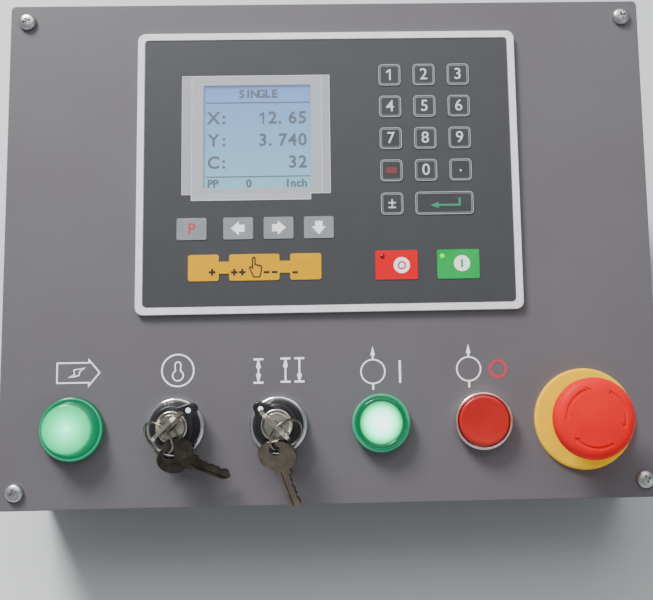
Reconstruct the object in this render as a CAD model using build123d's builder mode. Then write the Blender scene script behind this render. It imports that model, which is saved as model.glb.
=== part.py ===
"""Operator control box of a press brake: an inclined faceplate with a small
numerical controller, a row of control devices and their hanging keys.

Millimetres, +Z up, +Y to the back. The origin is the middle of the flat bottom.
Places on the face are (x, y, z): x to the right, y up the slope, z out of it.
"""

import os
from math import cos, radians, sin

from build123d import *

# Housing
face_width = 336.0
face_height = 264.0
face_corner = 2.5
face_thickness = 2.0
face_tilt = 25.0
face_overhang = 1.5
front_depth = 75.0
rim_depth = 18.0
sheet = 1.5
bend_radius = 3.0
flange_width = 14.0
gasket_thickness = 1.5
gasket_width = 10.0

# Faceplate screws
screw_inset = 9.0
screw_radius = 2.5
screw_hole_radius = 2.75
screw_length = 12.0
screw_head_radius = 4.6
screw_head_height = 3.2
screw_slot = 1.2
nut_across_flats = 8.0
nut_height = 4.0

# Bottom fixing holes, earthing stud and cable entry
fixing_inset = 46.5
fixing_spacing_y = 140.0
fixing_hole_radius = 4.5
stud_inset = 36.5
stud_y = 0.0
stud_radius = 3.0
stud_length = 20.0
stud_nut_across_flats = 10.0
stud_nut_height = 5.0
entry_inset = 76.5
entry_z = 40.0
entry_radius = 16.0
plug_lip = 4.0
plug_lip_height = 3.0
plug_depth = 9.0

# Controller front
bezel_cover = 8.0
bezel_margin = 17.0
bezel_corner = 4.0
bezel_chamfer = 0.5
bezel_thickness = 2.6
bezel_border = 3.6
bezel_lip = 1.0
overlay_thickness = 0.6
overlay_gap = 0.3
field_height = 0.3
field_corner = 1.8

# Display, placed from the middle of the controller
lcd_width = 56.4
lcd_height = 55.6
lcd_x = -37.2
lcd_y = 18.5
lcd_gap = 0.4
lcd_depth = 5.0
lcd_edge = 4.5
film_width = 77.4
film_height = 63.8
film_x = -37.8
film_y = 19.5
film_thickness = 0.2
film_foot_width = 62.2
film_foot_height = 3.2
film_foot_x = -40.5

# Number keys, placed from the middle of the controller
key_size = 11.8
key_pitch_x = 18.2
key_pitch_y = 17.35
number_x = 33.0
number_y = 51.1
number_rows = 4
number_columns = 3
sign_row_y = -18.7
enter_width = 30.6
enter_height = 12.3
enter_x = 60.4

# Command keys, placed from the middle of the controller
grey_width = 15.4
grey_height = 11.5
grey_x = (-71.3, -47.2, -26.3, -5.4)
grey_y = -30.6
jog_y = -51.1
jog_height = 13.7
jog_lobes = ((-65.1, 15.8), (-38.9, 25.9), (-12.4, 16.1))
jog_neck_height = 6.2
jog_corner = 1.2
command_width = 22.0
command_height = 15.3
stop_key_x = 34.6
start_key_x = 66.7
command_y = -51.1

# Controller behind the faceplate
case_width = 184.0
case_height = 134.0
case_depth = 44.0
case_wall = 2.0
case_gap = 1.0
pillar_radius = 3.0
board_inset = 7.0
board_thickness = 1.6
board_level = 14.0
board_part_height = 8.0
terminal_length = 120.0
terminal_width = 11.0
terminal_depth = 10.0
terminal_spacing = 70.0
clamp_spacing = 110.0
clamp_width = 14.0
clamp_reach = 8.0
clamp_depth = 12.0
clamp_foot = 3.0
clamp_wall = 2.0
clamp_edge = 1.5
clamp_screw_radius = 2.0
clamp_screw_end = 6.0

# Row of control devices
row_margin = 40.0
row_end_margin = 38.0
device_row_x = -1.0
device_count = 6
tube_radius = 10.9
hole_gap = 0.35
tube_bore = 8.3
tube_length = 9.0
notch_width = 3.2
notch_reach = 12.6
lug_gap = 0.2
bore_depth = 17.3
block_width = 28.0
block_height = 30.0
block_depth = 10.0
block_corner = 2.0
contact_width = 22.0
contact_height = 34.0
contact_depth = 26.0
contact_step = 5.0
terminal_radius = 1.6
terminal_hole_depth = 3.0
ring_nut_radius = 14.5
ring_nut_height = 5.0
ring_nut_grip = 0.05
nut_notch = 3.0
plunger_gap = 0.3

# Signal lamp
lamp_base_radius = 16.2
lamp_base_height = 4.4
lamp_lens_radius = 13.1
lamp_height = 12.6
lamp_wall = 1.2
lamp_round = 1.6
lamp_flange = 1.2
lamp_base_chamfer = 1.2
lamp_draft = 0.5
lamp_light_radius = 7.0

# Key switches
switch_ring_radius = 14.75
switch_ring_height = 3.0
collar_radius = 12.9
collar_top_radius = 10.8
collar_height = 12.4
collar_rim = 1.2
collar_gap = 0.4
collar_chamfer = 1.0
nose_radius = 2.8
nose_reach = 12.9
nose_root_radius = 8.6
barrel_radius = 8.0
barrel_height = 14.5
barrel_seat_gap = 0.05
keyway_gap = 0.3
switch_turns = (-45.0, 45.0)

# Keys and key rings
key_bow_length = 15.5
key_bow_width = 20.0
key_bow_corner = 7.2
key_hole_radius = 3.0
key_hole_inset = 4.6
key_neck_length = 3.0
key_neck_width = 8.0
key_blade_length = 19.0
key_blade_width = 5.4
key_thickness = 1.8
key_tooth = 1.0
key_teeth = 4
key_seat_gap = 0.3
ring_radius = 8.8
ring_wire = 0.65
ring_lean = 40.0
ring_travels = (113.0, 101.0)
spare_turns = (-23.5, -71.0)
spare_drops = (20.5, 23.5)
spare_rolls = (26.0, 25.0)
spare_slacks = (0.7, 0.1)

# Buttons
button_ring_radius = 14.7
button_ring_height = 6.4
button_ring_wall = 1.7
button_floor = 1.2
button_height = 8.4
button_round = 0.9
button_gap = 0.3
button_travel = 3.5
plunger_radius = 8.0
plunger_wall = 2.0
socket_radius = 5.0
socket_height = 13.0

# Emergency stop
disc_radius = 25.6
disc_height = 2.4
disc_chamfer = 1.0
disc_seat_gap = 0.1
stop_collar_radius = 14.5
stop_collar_height = 7.0
head_radius = 20.1
head_height = 30.5
head_side_low = 19.0
head_side_high = 25.5
head_hub_radius = 12.0
head_clearance = 0.5
head_crown = 3.0
neck_radius = 6.0
neck_gap = 0.3
neck_level = 22.0
arrow_radius = 14.4
arrow_width = 2.0
arrow_sweep = 62.0
arrow_start = 20.0
arrow_depth = 0.6
arrow_count = 3
stop_travel = 4.5

# Derived places
box_width = face_width - 2 * face_overhang
box_height = face_height - 2 * face_overhang
flange_level = -(face_thickness + gasket_thickness)
tilt_sin = sin(radians(face_tilt))
tilt_cos = cos(radians(face_tilt))
face_normal = Vector(0, -tilt_sin, tilt_cos)
face_up = Vector(0, tilt_cos, tilt_sin)
face_rise = box_height / 2 * tilt_sin + (front_depth - flange_level) * tilt_cos
front_run = -box_height / 2 * tilt_cos + (front_depth - flange_level) * tilt_sin
back_run = box_height / 2 * tilt_cos + (rim_depth - flange_level) * tilt_sin
face_shift = -(front_run + back_run) / 2
face_plane = Plane(origin=(0, face_shift, face_rise), x_dir=(1, 0, 0), z_dir=face_normal)
back_wall = back_run + face_shift
fixing_spacing_x = box_width - 2 * fixing_inset
stud_x = box_width / 2 - stud_inset
entry_x = entry_inset - box_width / 2
bezel_width = case_width + 2 * bezel_cover
bezel_height = case_height + 2 * bezel_cover
controller_y = face_height / 2 - bezel_margin - bezel_height / 2
film_level = bezel_thickness - bezel_lip
overlay_top = film_level + overlay_thickness
screw_spots = [
    (x * (face_width / 2 - screw_inset), y * (face_height / 2 - screw_inset))
    for x in (-1, 1)
    for y in (-1, 1)
]
device_row_y = row_margin - face_height / 2
device_pitch = (face_width - 2 * row_end_margin) / (device_count - 1)
device_x = [device_row_x + device_pitch * (i - (device_count - 1) / 2) for i in range(device_count)]
lamp_x, left_switch_x, right_switch_x, start_x, stop_x, emergency_x = device_x
lcd_face_level = film_level - lcd_gap / 2
keyway_depth = key_blade_length + 1.0
button_disc = button_height - button_floor - button_travel - plunger_gap
plunger_end = bore_depth - stop_travel - plunger_gap
head_hub_level = stop_collar_height + stop_travel + head_clearance


def on_face(x, y, z=0.0, turn=0.0):
    """A plane parallel to the face at a place on it, turned anticlockwise about the face's normal."""
    x_dir = Vector(1, 0, 0) * cos(radians(turn)) + face_up * sin(radians(turn))
    return Plane(origin=face_plane.from_local_coords((x, y, z)), x_dir=x_dir, z_dir=face_normal)


def section(place):
    """The plane in which an outline of (radius, height) points is drawn."""
    return Plane(origin=place.origin, x_dir=place.x_dir, z_dir=place.x_dir.cross(place.z_dir))


def turned(place, outline):
    """Adds the solid that an outline of (radius, height) points sweeps about a place's normal."""
    with BuildSketch(section(place)) as profile:
        with BuildLine():
            Polyline(*outline, close=True)
        make_face()
    revolve(profile.sketch, axis=Axis(place.origin, place.z_dir))


def finish(part, name):
    """Labels a piece and writes it."""
    part.label = name
    export_step(part, f"parts/{name}.step")


def housing():
    """Folded sheet console, open below the faceplate, with return flanges for it."""
    foot = (front_run + face_shift, 0.0)
    front_edge = face_plane.from_local_coords((0, -box_height / 2, flange_level))
    back_edge = face_plane.from_local_coords((0, box_height / 2, flange_level))
    rim_end = face_plane.from_local_coords((0, box_height / 2, flange_level - rim_depth))
    with BuildPart() as shell:
        with BuildSketch(Plane.YZ):
            with BuildLine():
                Polyline(
                    foot,
                    (front_edge.Y, front_edge.Z),
                    (back_edge.Y, back_edge.Z),
                    (rim_end.Y, rim_end.Z),
                    (back_wall, 0.0),
                    close=True,
                )
            make_face()
        extrude(amount=box_width / 2, both=True)
        mouth = shell.faces().sort_by(Axis((0, 0, 0), face_normal))[-1]
        fillet(shell.edges() - mouth.edges(), radius=bend_radius)
        mouth = shell.faces().sort_by(Axis((0, 0, 0), face_normal))[-1]
        offset(amount=-sheet, openings=mouth)
        with BuildSketch(on_face(0, 0, flange_level)):
            Rectangle(box_width - sheet, box_height - sheet)
            Rectangle(box_width - 2 * flange_width, box_height - 2 * flange_width, mode=Mode.SUBTRACT)
        extrude(amount=-sheet)
        with BuildSketch(on_face(0, 0, flange_level)):
            with Locations(*screw_spots):
                Circle(screw_hole_radius)
        extrude(amount=-sheet, mode=Mode.SUBTRACT)
        with BuildSketch(Plane.XY):
            with GridLocations(fixing_spacing_x, fixing_spacing_y, 2, 2):
                Circle(fixing_hole_radius)
        extrude(amount=sheet, mode=Mode.SUBTRACT)
        with BuildSketch(entry_plane):
            Circle(entry_radius)
        extrude(amount=-sheet, mode=Mode.SUBTRACT)
    return shell.part


def entry_plug():
    """Moulded plug that closes the cable entry in the back wall."""
    with BuildPart() as plug:
        turned(
            entry_plane,
            [
                (0, plug_lip_height),
                (entry_radius + plug_lip - plug_lip_height / 2, plug_lip_height),
                (entry_radius + plug_lip, plug_lip_height / 2),
                (entry_radius + plug_lip, 0),
                (entry_radius, 0),
                (entry_radius, -sheet),
                (entry_radius - 1, -plug_depth),
                (entry_radius - 3, -plug_depth),
                (entry_radius - 3, 1),
                (0, 1),
            ],
        )
    return plug.part


def hex_nut(place, across_flats, bore_radius, height):
    """Adds a hexagon nut that stands out from a place."""
    with BuildSketch(place) as outline:
        RegularPolygon(across_flats / 2, 6, major_radius=False)
        Circle(bore_radius, mode=Mode.SUBTRACT)
    extrude(outline.sketch, amount=height)


def earth_stud():
    """Welded stud on the bottom with its nut."""
    base = Plane(origin=(stud_x, stud_y, sheet), z_dir=(0, 0, 1))
    with BuildPart() as stud:
        with BuildSketch(base):
            Circle(stud_radius)
        extrude(amount=stud_length)
        chamfer(stud.edges().sort_by(Axis.Z)[-1], length=0.6)
        hex_nut(base.offset(stud_nut_height), stud_nut_across_flats, stud_radius, stud_nut_height)
        with BuildSketch(base):
            Circle(stud_nut_across_flats * 0.6)
        extrude(amount=1.2)
    return stud.part


def gasket():
    """Foam strip between the flange and the faceplate."""
    with BuildPart() as strip:
        with BuildSketch(on_face(0, 0, flange_level)):
            Rectangle(box_width - bend_radius, box_height - bend_radius)
            opening_x = box_width - bend_radius - 2 * gasket_width
            opening_y = box_height - bend_radius - 2 * gasket_width
            Rectangle(opening_x, opening_y, mode=Mode.SUBTRACT)
            with Locations(*screw_spots):
                Circle(screw_hole_radius, mode=Mode.SUBTRACT)
        extrude(amount=gasket_thickness)
    return strip.part


def faceplate():
    """Painted sheet with the controller's cut-out, the device holes and their notches."""
    with BuildPart() as plate:
        with BuildSketch(on_face(0, 0, 0)):
            RectangleRounded(face_width, face_height, face_corner)
            with Locations((0, controller_y)):
                Rectangle(case_width + 2 * case_gap, case_height + 2 * case_gap, mode=Mode.SUBTRACT)
            with Locations(*[(x, device_row_y) for x in device_x]):
                Circle(tube_radius + hole_gap, mode=Mode.SUBTRACT)
            with Locations(*[(x, device_row_y + notch_reach / 2) for x in device_x]):
                Rectangle(notch_width, notch_reach, mode=Mode.SUBTRACT)
            with Locations(*screw_spots):
                Circle(screw_hole_radius, mode=Mode.SUBTRACT)
        extrude(amount=-face_thickness)
    return plate.part


def panel_screws():
    """Pan-head screws with a cross recess."""
    with BuildPart() as screws:
        for x, y in screw_spots:
            place = on_face(x, y)
            turned(
                place,
                [
                    (0, -screw_length),
                    (screw_radius, -screw_length),
                    (screw_radius, 0),
                    (screw_head_radius, 0),
                    (screw_head_radius, screw_head_height * 0.4),
                    (screw_head_radius * 0.82, screw_head_height * 0.78),
                    (screw_head_radius * 0.45, screw_head_height),
                    (0, screw_head_height),
                ],
            )
            with BuildSketch(on_face(x, y, screw_head_height * 0.45)):
                Rectangle(screw_head_radius, screw_slot)
                Rectangle(screw_slot, screw_head_radius)
            extrude(amount=screw_head_height, mode=Mode.SUBTRACT)
    return screws.part


def panel_nuts():
    """Nuts of the faceplate screws, behind the flange."""
    with BuildPart() as nuts:
        for x, y in screw_spots:
            hex_nut(on_face(x, y, flange_level - sheet - nut_height), nut_across_flats, screw_radius, nut_height)
    return nuts.part


def controller_bezel():
    """Moulded front frame with the recess of the keypad film and the display opening."""
    with BuildPart() as bezel:
        with BuildSketch(on_face(0, controller_y)):
            RectangleRounded(bezel_width, bezel_height, bezel_corner)
        extrude(amount=bezel_thickness)
        rim = bezel.faces().sort_by(Axis((0, 0, 0), face_normal))[-1]
        chamfer(rim.edges(), length=bezel_chamfer)
        with BuildSketch(on_face(0, controller_y, film_level)):
            RectangleRounded(
                bezel_width - 2 * bezel_border, bezel_height - 2 * bezel_border, bezel_corner / 2
            )
        extrude(amount=bezel_lip, mode=Mode.SUBTRACT)
        with BuildSketch(on_face(lcd_x, controller_y + lcd_y)):
            Rectangle(lcd_width + 2 * lcd_gap, lcd_height + 2 * lcd_gap)
        extrude(amount=bezel_thickness, mode=Mode.SUBTRACT)
    return bezel.part


def membrane_overlay():
    """Keypad film that lies in the front frame, with the window over the display."""
    with BuildPart() as overlay:
        with BuildSketch(on_face(0, controller_y, film_level)):
            RectangleRounded(
                bezel_width - 2 * (bezel_border + overlay_gap),
                bezel_height - 2 * (bezel_border + overlay_gap),
                bezel_corner / 2,
            )
        extrude(amount=overlay_thickness)
        with BuildSketch(on_face(lcd_x, controller_y + lcd_y, film_level)):
            Rectangle(lcd_width, lcd_height)
        extrude(amount=overlay_thickness, mode=Mode.SUBTRACT)
    return overlay.part


def display_film():
    """Clear film over the display, with a narrower foot below it."""
    with BuildPart() as film:
        with BuildSketch(on_face(0, controller_y, overlay_top)):
            with Locations((film_x, film_y)):
                Rectangle(film_width, film_height)
            with Locations((film_foot_x, film_y - film_height / 2 - film_foot_height / 2)):
                Rectangle(film_foot_width, film_foot_height)
        extrude(amount=film_thickness)
    return film.part


def lcd_glass():
    """Display module, its glass standing in the frame's opening."""
    with BuildPart() as lcd:
        with BuildSketch(on_face(lcd_x, controller_y + lcd_y)):
            Rectangle(lcd_width + 2 * lcd_edge, lcd_height + 2 * lcd_edge)
        extrude(amount=-lcd_depth)
        with BuildSketch(on_face(lcd_x, controller_y + lcd_y)):
            Rectangle(lcd_width, lcd_height)
        extrude(amount=lcd_face_level)
    return lcd.part


def number_spots():
    """Middles of the square keys: the rows of digits and the sign key below them."""
    spots = [
        (number_x + key_pitch_x * column, number_y - key_pitch_y * row)
        for row in range(number_rows)
        for column in range(number_columns)
    ]
    return spots + [(number_x, sign_row_y)]


def number_keys():
    """Raised fields of the digit keys and the wide enter key."""
    with BuildPart() as keys:
        with BuildSketch(on_face(0, controller_y, overlay_top)):
            with Locations(*number_spots()):
                RectangleRounded(key_size, key_size, field_corner)
            with Locations((enter_x, sign_row_y)):
                RectangleRounded(enter_width, enter_height, field_corner)
        extrude(amount=field_height)
    return keys.part


def grey_keys():
    """Raised fields of the page and arrow keys."""
    with BuildPart() as keys:
        with BuildSketch(on_face(0, controller_y, overlay_top)):
            with Locations(*[(x, grey_y) for x in grey_x]):
                RectangleRounded(grey_width, grey_height, field_corner / 2)
        extrude(amount=field_height)
    return keys.part


def jog_keys():
    """Raised field of the jog keys: lobes joined by necks."""
    left = jog_lobes[0][0]
    right = jog_lobes[-1][0]
    with BuildPart() as keys:
        with BuildSketch(on_face(0, controller_y, overlay_top)):
            for x, width in jog_lobes:
                with Locations((x, jog_y)):
                    RectangleRounded(width, jog_height, jog_corner)
            with Locations(((left + right) / 2, jog_y)):
                Rectangle(right - left, jog_neck_height)
        extrude(amount=field_height)
    return keys.part


def command_key(x):
    """Raised field of a start or stop key of the controller."""
    with BuildPart() as key:
        with BuildSketch(on_face(x, controller_y + command_y, overlay_top)):
            RectangleRounded(command_width, command_height, field_corner / 2)
        extrude(amount=field_height)
    return key.part


def controller_case():
    """Tub behind the faceplate with the pillars that carry the circuit board."""
    inner_x = case_width - 2 * case_wall
    inner_y = case_height - 2 * case_wall
    with BuildPart() as case:
        with BuildSketch(on_face(0, controller_y)):
            Rectangle(case_width, case_height)
        extrude(amount=-case_depth)
        with BuildSketch(on_face(0, controller_y)):
            Rectangle(inner_x, inner_y)
        extrude(amount=case_wall - case_depth, mode=Mode.SUBTRACT)
        with BuildSketch(on_face(0, controller_y, case_wall - case_depth)):
            with GridLocations(inner_x - 4 * board_inset, inner_y - 4 * board_inset, 2, 2):
                Circle(pillar_radius)
        extrude(amount=case_depth - case_wall - board_level - board_thickness)
    return case.part


def circuit_board():
    """Circuit board on the pillars, with a row of tall parts."""
    board_x = case_width - 2 * (case_wall + board_inset)
    board_y = case_height - 2 * (case_wall + board_inset)
    with BuildPart() as board:
        with BuildSketch(on_face(0, controller_y, -board_level - board_thickness)):
            Rectangle(board_x, board_y)
        extrude(amount=board_thickness)
        with BuildSketch(on_face(0, controller_y, -board_level - board_thickness)):
            with GridLocations(board_x / 5, board_y / 3, 4, 2):
                Rectangle(board_x / 9, board_y / 9)
        extrude(amount=-board_part_height)
        with BuildSketch(on_face(lcd_x, controller_y + lcd_y, -board_level)):
            with GridLocations(lcd_width / 2, lcd_height / 2, 2, 2):
                Circle(pillar_radius)
        extrude(amount=board_level - lcd_depth)
    return board.part


def terminal_blocks():
    """Two rows of plug-in terminals on the back of the case."""
    wire_ways = 15
    way = terminal_length / wire_ways
    with BuildPart() as blocks:
        with BuildSketch(on_face(0, controller_y, -case_depth)):
            with GridLocations(0, terminal_spacing, 1, 2):
                Rectangle(terminal_length, terminal_width)
        extrude(amount=-terminal_depth)
        with BuildSketch(on_face(0, controller_y, -case_depth - terminal_depth)):
            with GridLocations(way, terminal_spacing, wire_ways, 2):
                Rectangle(way / 2, terminal_width / 2)
        extrude(amount=terminal_depth / 2, mode=Mode.SUBTRACT)
    return blocks.part


def clamp_spots():
    """Middles of the clamps on the top and bottom of the case, with the way each one faces."""
    return [
        (x * clamp_spacing / 2, controller_y + side * case_height / 2, side)
        for x in (-1, 1)
        for side in (-1, 1)
    ]


def panel_clamps():
    """Brackets on the case that draw it against the faceplate."""
    with BuildPart() as clamps:
        for x, y, side in clamp_spots():
            with BuildSketch(on_face(x, y + side * clamp_reach / 2, -case_gap - face_thickness - clamp_depth)):
                Rectangle(clamp_width, clamp_reach)
                with Locations((0, side * (clamp_reach / 2 - clamp_screw_radius - clamp_edge))):
                    Circle(clamp_screw_radius, mode=Mode.SUBTRACT)
            extrude(amount=clamp_foot)
            with BuildSketch(on_face(x, y + side * clamp_wall / 2, -case_gap - face_thickness - clamp_depth)):
                Rectangle(clamp_width, clamp_wall)
            extrude(amount=clamp_depth)
    return clamps.part


def clamp_screws():
    """Screws of the clamps, their tips on the back of the faceplate."""
    with BuildPart() as screws:
        for x, y, side in clamp_spots():
            reach = clamp_reach - clamp_screw_radius - clamp_edge
            with BuildSketch(on_face(x, y + side * reach, -face_thickness)):
                Circle(clamp_screw_radius)
            extrude(amount=-clamp_depth - clamp_screw_end)
    return screws.part


def device_body(place, front, bore=0.0, rim_radius=0.0, rim_height=0.0):
    """Body of a control device: threaded tube, anti-turn lug and the square block behind the nut."""
    with BuildPart() as body:
        with BuildSketch(place.offset(-tube_length)):
            Circle(tube_radius)
        extrude(amount=tube_length + front)
        with BuildSketch(place.offset(-face_thickness)):
            with Locations((0, (notch_reach - lug_gap) / 2)):
                Rectangle(notch_width - 2 * lug_gap, notch_reach - lug_gap)
        extrude(amount=face_thickness)
        with BuildSketch(place.offset(-tube_length - block_depth)):
            RectangleRounded(block_width, block_height, block_corner)
        extrude(amount=block_depth)
        if rim_radius:
            with BuildSketch(place.offset(rim_height)):
                Circle(rim_radius)
            extrude(amount=front - rim_height)
            chamfer(body.faces().sort_by(Axis((0, 0, 0), face_normal))[-1].edges(), length=0.4)
        with BuildSketch(place.offset(front)):
            Circle(bore or tube_bore)
        extrude(amount=-front - bore_depth, mode=Mode.SUBTRACT)
    return body.part


def contact_block(place):
    """Contact block clipped on the back of a device, its ends stepped for the terminals."""
    top = -tube_length - block_depth
    with BuildPart() as block:
        with BuildSketch(place.offset(top - contact_depth)):
            Rectangle(contact_width, contact_height)
        extrude(amount=contact_depth)
        with BuildSketch(place.offset(top - contact_depth)):
            with GridLocations(0, contact_height - contact_step, 1, 2):
                Rectangle(contact_width, contact_step)
        extrude(amount=contact_depth / 2, mode=Mode.SUBTRACT)
        with BuildSketch(place.offset(top - contact_depth / 2)):
            with GridLocations(contact_width / 2, contact_height - contact_step, 2, 2):
                Circle(terminal_radius)
        extrude(amount=terminal_hole_depth, mode=Mode.SUBTRACT)
    return block.part


def device_nuts():
    """Notched ring nuts that hold the devices from behind."""
    with BuildPart() as nuts:
        for x in device_x:
            with BuildSketch(on_face(x, device_row_y, -face_thickness - ring_nut_height)):
                Circle(ring_nut_radius)
                Circle(tube_radius + ring_nut_grip, mode=Mode.SUBTRACT)
                with PolarLocations(ring_nut_radius, 6):
                    Circle(nut_notch / 2, mode=Mode.SUBTRACT)
            extrude(amount=ring_nut_height)
    return nuts.part


def lamp_lens(place):
    """Stepped lens of the signal lamp, hollow behind."""
    inner = lamp_lens_radius - lamp_wall
    with BuildPart() as lens:
        with BuildSketch(section(place)) as profile:
            with BuildLine():
                Polyline(
                    (lamp_base_radius, 0),
                    (lamp_base_radius, lamp_base_height - lamp_base_chamfer),
                    (lamp_base_radius - lamp_base_chamfer, lamp_base_height),
                    (lamp_lens_radius, lamp_base_height),
                    (lamp_lens_radius - lamp_draft, lamp_height - lamp_round),
                )
                RadiusArc(
                    (lamp_lens_radius - lamp_draft, lamp_height - lamp_round),
                    (lamp_lens_radius - lamp_draft - lamp_round, lamp_height - 0.4),
                    -lamp_round,
                )
                Polyline(
                    (lamp_lens_radius - lamp_draft - lamp_round, lamp_height - 0.4),
                    (0, lamp_height),
                    (0, lamp_height - lamp_wall),
                    (inner, lamp_height - lamp_wall - 1),
                    (inner, lamp_flange + lug_gap),
                    (lamp_base_radius - 0.8, lamp_flange + lug_gap),
                    (lamp_base_radius - 0.8, 0),
                    (lamp_base_radius, 0),
                )
            make_face()
        revolve(profile.sketch, axis=Axis(place.origin, place.z_dir))
    return lens.part


def lamp_body(place):
    """Body of the lamp, with the round flange that the lens closes on."""
    with BuildPart() as body:
        add(device_body(place, lamp_flange))
        with BuildSketch(place):
            Circle(lamp_base_radius - 1.0)
            Circle(tube_bore, mode=Mode.SUBTRACT)
        extrude(amount=lamp_flange)
    return body.part


def light_module(place, radius, top):
    """Light source that stands in the bore of a body, with a domed end."""
    with BuildPart() as module:
        turned(
            place,
            [
                (0, -bore_depth),
                (radius, -bore_depth),
                (radius, top - radius * 0.5),
                (radius * 0.85, top - radius * 0.18),
                (radius * 0.5, top),
                (0, top),
            ],
        )
    return module.part


def switch_ring(place):
    """Chromed ring of a key switch."""
    with BuildPart() as ring:
        turned(
            place,
            [
                (tube_radius + ring_nut_grip, 0),
                (switch_ring_radius, 0),
                (switch_ring_radius, switch_ring_height * 0.55),
                (switch_ring_radius - 0.4, switch_ring_height * 0.85),
                (switch_ring_radius - 1.0, switch_ring_height),
                (tube_radius + ring_nut_grip, switch_ring_height),
            ],
        )
    return ring.part


def switch_collar(place):
    """Turning collar of a key switch: a cone with the nose that points to its place."""
    foot = switch_ring_height + collar_gap
    with BuildPart() as collar:
        with BuildSketch(place.offset(foot)):
            Circle(nose_root_radius)
            with Locations((0, nose_reach)):
                Circle(nose_radius)
            make_hull()
        extrude(amount=collar_height - foot)
        chamfer(collar.faces().sort_by(Axis((0, 0, 0), face_normal))[-1].edges(), length=collar_chamfer)
        turned(
            place,
            [
                (0, foot),
                (collar_radius, foot),
                (collar_radius, foot + collar_rim),
                (collar_top_radius, collar_height - collar_chamfer),
                (collar_top_radius - collar_chamfer, collar_height),
                (0, collar_height),
            ],
        )
        with BuildSketch(place.offset(switch_ring_height)):
            Circle(barrel_radius + barrel_seat_gap)
        extrude(amount=collar_height, mode=Mode.SUBTRACT)
    return collar.part


def switch_barrel(place):
    """Lock barrel with its keyway."""
    with BuildPart() as barrel:
        with BuildSketch(place.offset(plunger_gap - bore_depth)):
            Circle(barrel_radius)
        extrude(amount=bore_depth - plunger_gap + barrel_height)
        chamfer(barrel.faces().sort_by(Axis((0, 0, 0), face_normal))[-1].edges(), length=0.6)
        with BuildSketch(place.offset(barrel_height)):
            Rectangle(key_thickness + 2 * keyway_gap, key_blade_width + 2 * keyway_gap)
        extrude(amount=-keyway_depth, mode=Mode.SUBTRACT)
    return barrel.part


def key(place):
    """Flat key: its hole at the place's origin, its blade along the place's x direction."""
    bow_end = key_bow_length - key_hole_inset
    blade_start = bow_end + key_neck_length
    blade_end = blade_start + key_blade_length
    half = key_blade_width / 2
    tooth_pitch = (key_blade_length - half) / (key_teeth + 1)
    with BuildPart() as piece:
        with BuildSketch(place.offset(-key_thickness / 2)):
            with Locations((bow_end - key_bow_length / 2, 0)):
                RectangleRounded(key_bow_length, key_bow_width, key_bow_corner)
            with Locations((bow_end + key_neck_length / 2 - 1, 0)):
                Rectangle(key_neck_length + 2, key_neck_width)
            with BuildLine():
                Polyline(
                    (bow_end, -half),
                    (blade_end - half, -half),
                    (blade_end, -half * 0.2),
                    (blade_end, half * 0.2),
                    (blade_end - half * 0.8, half),
                    (bow_end, half),
                    close=True,
                )
            make_face()
            for tooth in range(key_teeth):
                x = blade_start + tooth_pitch * (tooth + 1)
                depth = key_tooth * (1.0 if tooth % 2 else 0.6)
                with BuildLine():
                    Polyline(
                        (x - tooth_pitch * 0.45, half + 0.1),
                        (x - 0.6, half - depth),
                        (x + 0.6, half - depth),
                        (x + tooth_pitch * 0.45, half + 0.1),
                        close=True,
                    )
                make_face(mode=Mode.SUBTRACT)
            Circle(key_hole_radius, mode=Mode.SUBTRACT)
        extrude(amount=key_thickness)
    return piece.part


class KeySet:
    """Places of the inserted key, the ring and the spare key of one switch."""

    def __init__(self, x, turn, ring_travel, spare_turn, spare_drop, spare_roll, spare_slack):
        rotor = on_face(x, device_row_y, 0, turn)
        nose_way = rotor.y_dir
        side = -1 if turn < 0 else 1
        key_level = barrel_height + key_seat_gap + key_neck_length + key_bow_length - key_hole_inset
        self.rotor = rotor
        self.key_hole = rotor.origin + face_normal * key_level
        self.key_plane = Plane(origin=self.key_hole, x_dir=-face_normal, z_dir=nose_way.cross(face_normal))
        lean = radians(ring_lean)
        drop_way = -face_normal * cos(lean) - nose_way * sin(lean)
        ring_slack = key_hole_radius - ring_wire - plunger_gap
        self.ring_seat = self.key_hole + drop_way * ring_slack
        self.ring_axis = rotor.x_dir * -side
        self.ring_centre = self.ring_seat + drop_way * ring_radius
        travel = radians(ring_travel)
        outward = drop_way * (1 - cos(travel)) + self.ring_axis * sin(travel)
        self.spare_seat = self.ring_seat + outward * ring_radius
        self.ring_plane = Plane(
            origin=self.ring_centre, x_dir=self.ring_axis, z_dir=self.ring_axis.cross(drop_way)
        )
        turn_sin, turn_cos = sin(radians(spare_turn)), cos(radians(spare_turn))
        drop_sin, drop_cos = sin(radians(spare_drop)), cos(radians(spare_drop))
        across = Vector(1, 0, 0) * turn_cos + face_up * turn_sin
        self.blade_way = across * drop_cos - face_normal * drop_sin
        flat_normal = across * drop_sin + face_normal * drop_cos
        self.spare_normal = flat_normal.rotate(Axis((0, 0, 0), self.blade_way), spare_roll)
        self.spare_plane = Plane(
            origin=self.spare_seat + self.blade_way * spare_slack,
            x_dir=self.blade_way,
            z_dir=self.spare_normal,
        )


def key_ring(keys):
    """Closed wire ring through the holes of both keys."""
    start = keys.ring_plane.from_local_coords((ring_radius, 0, 0))
    with BuildPart() as ring:
        with BuildSketch(Plane(origin=start, x_dir=keys.ring_plane.x_dir, z_dir=keys.ring_plane.y_dir)) as wire:
            Circle(ring_wire)
        revolve(wire.sketch, axis=Axis(keys.ring_centre, keys.ring_plane.z_dir))
    return ring.part


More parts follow.
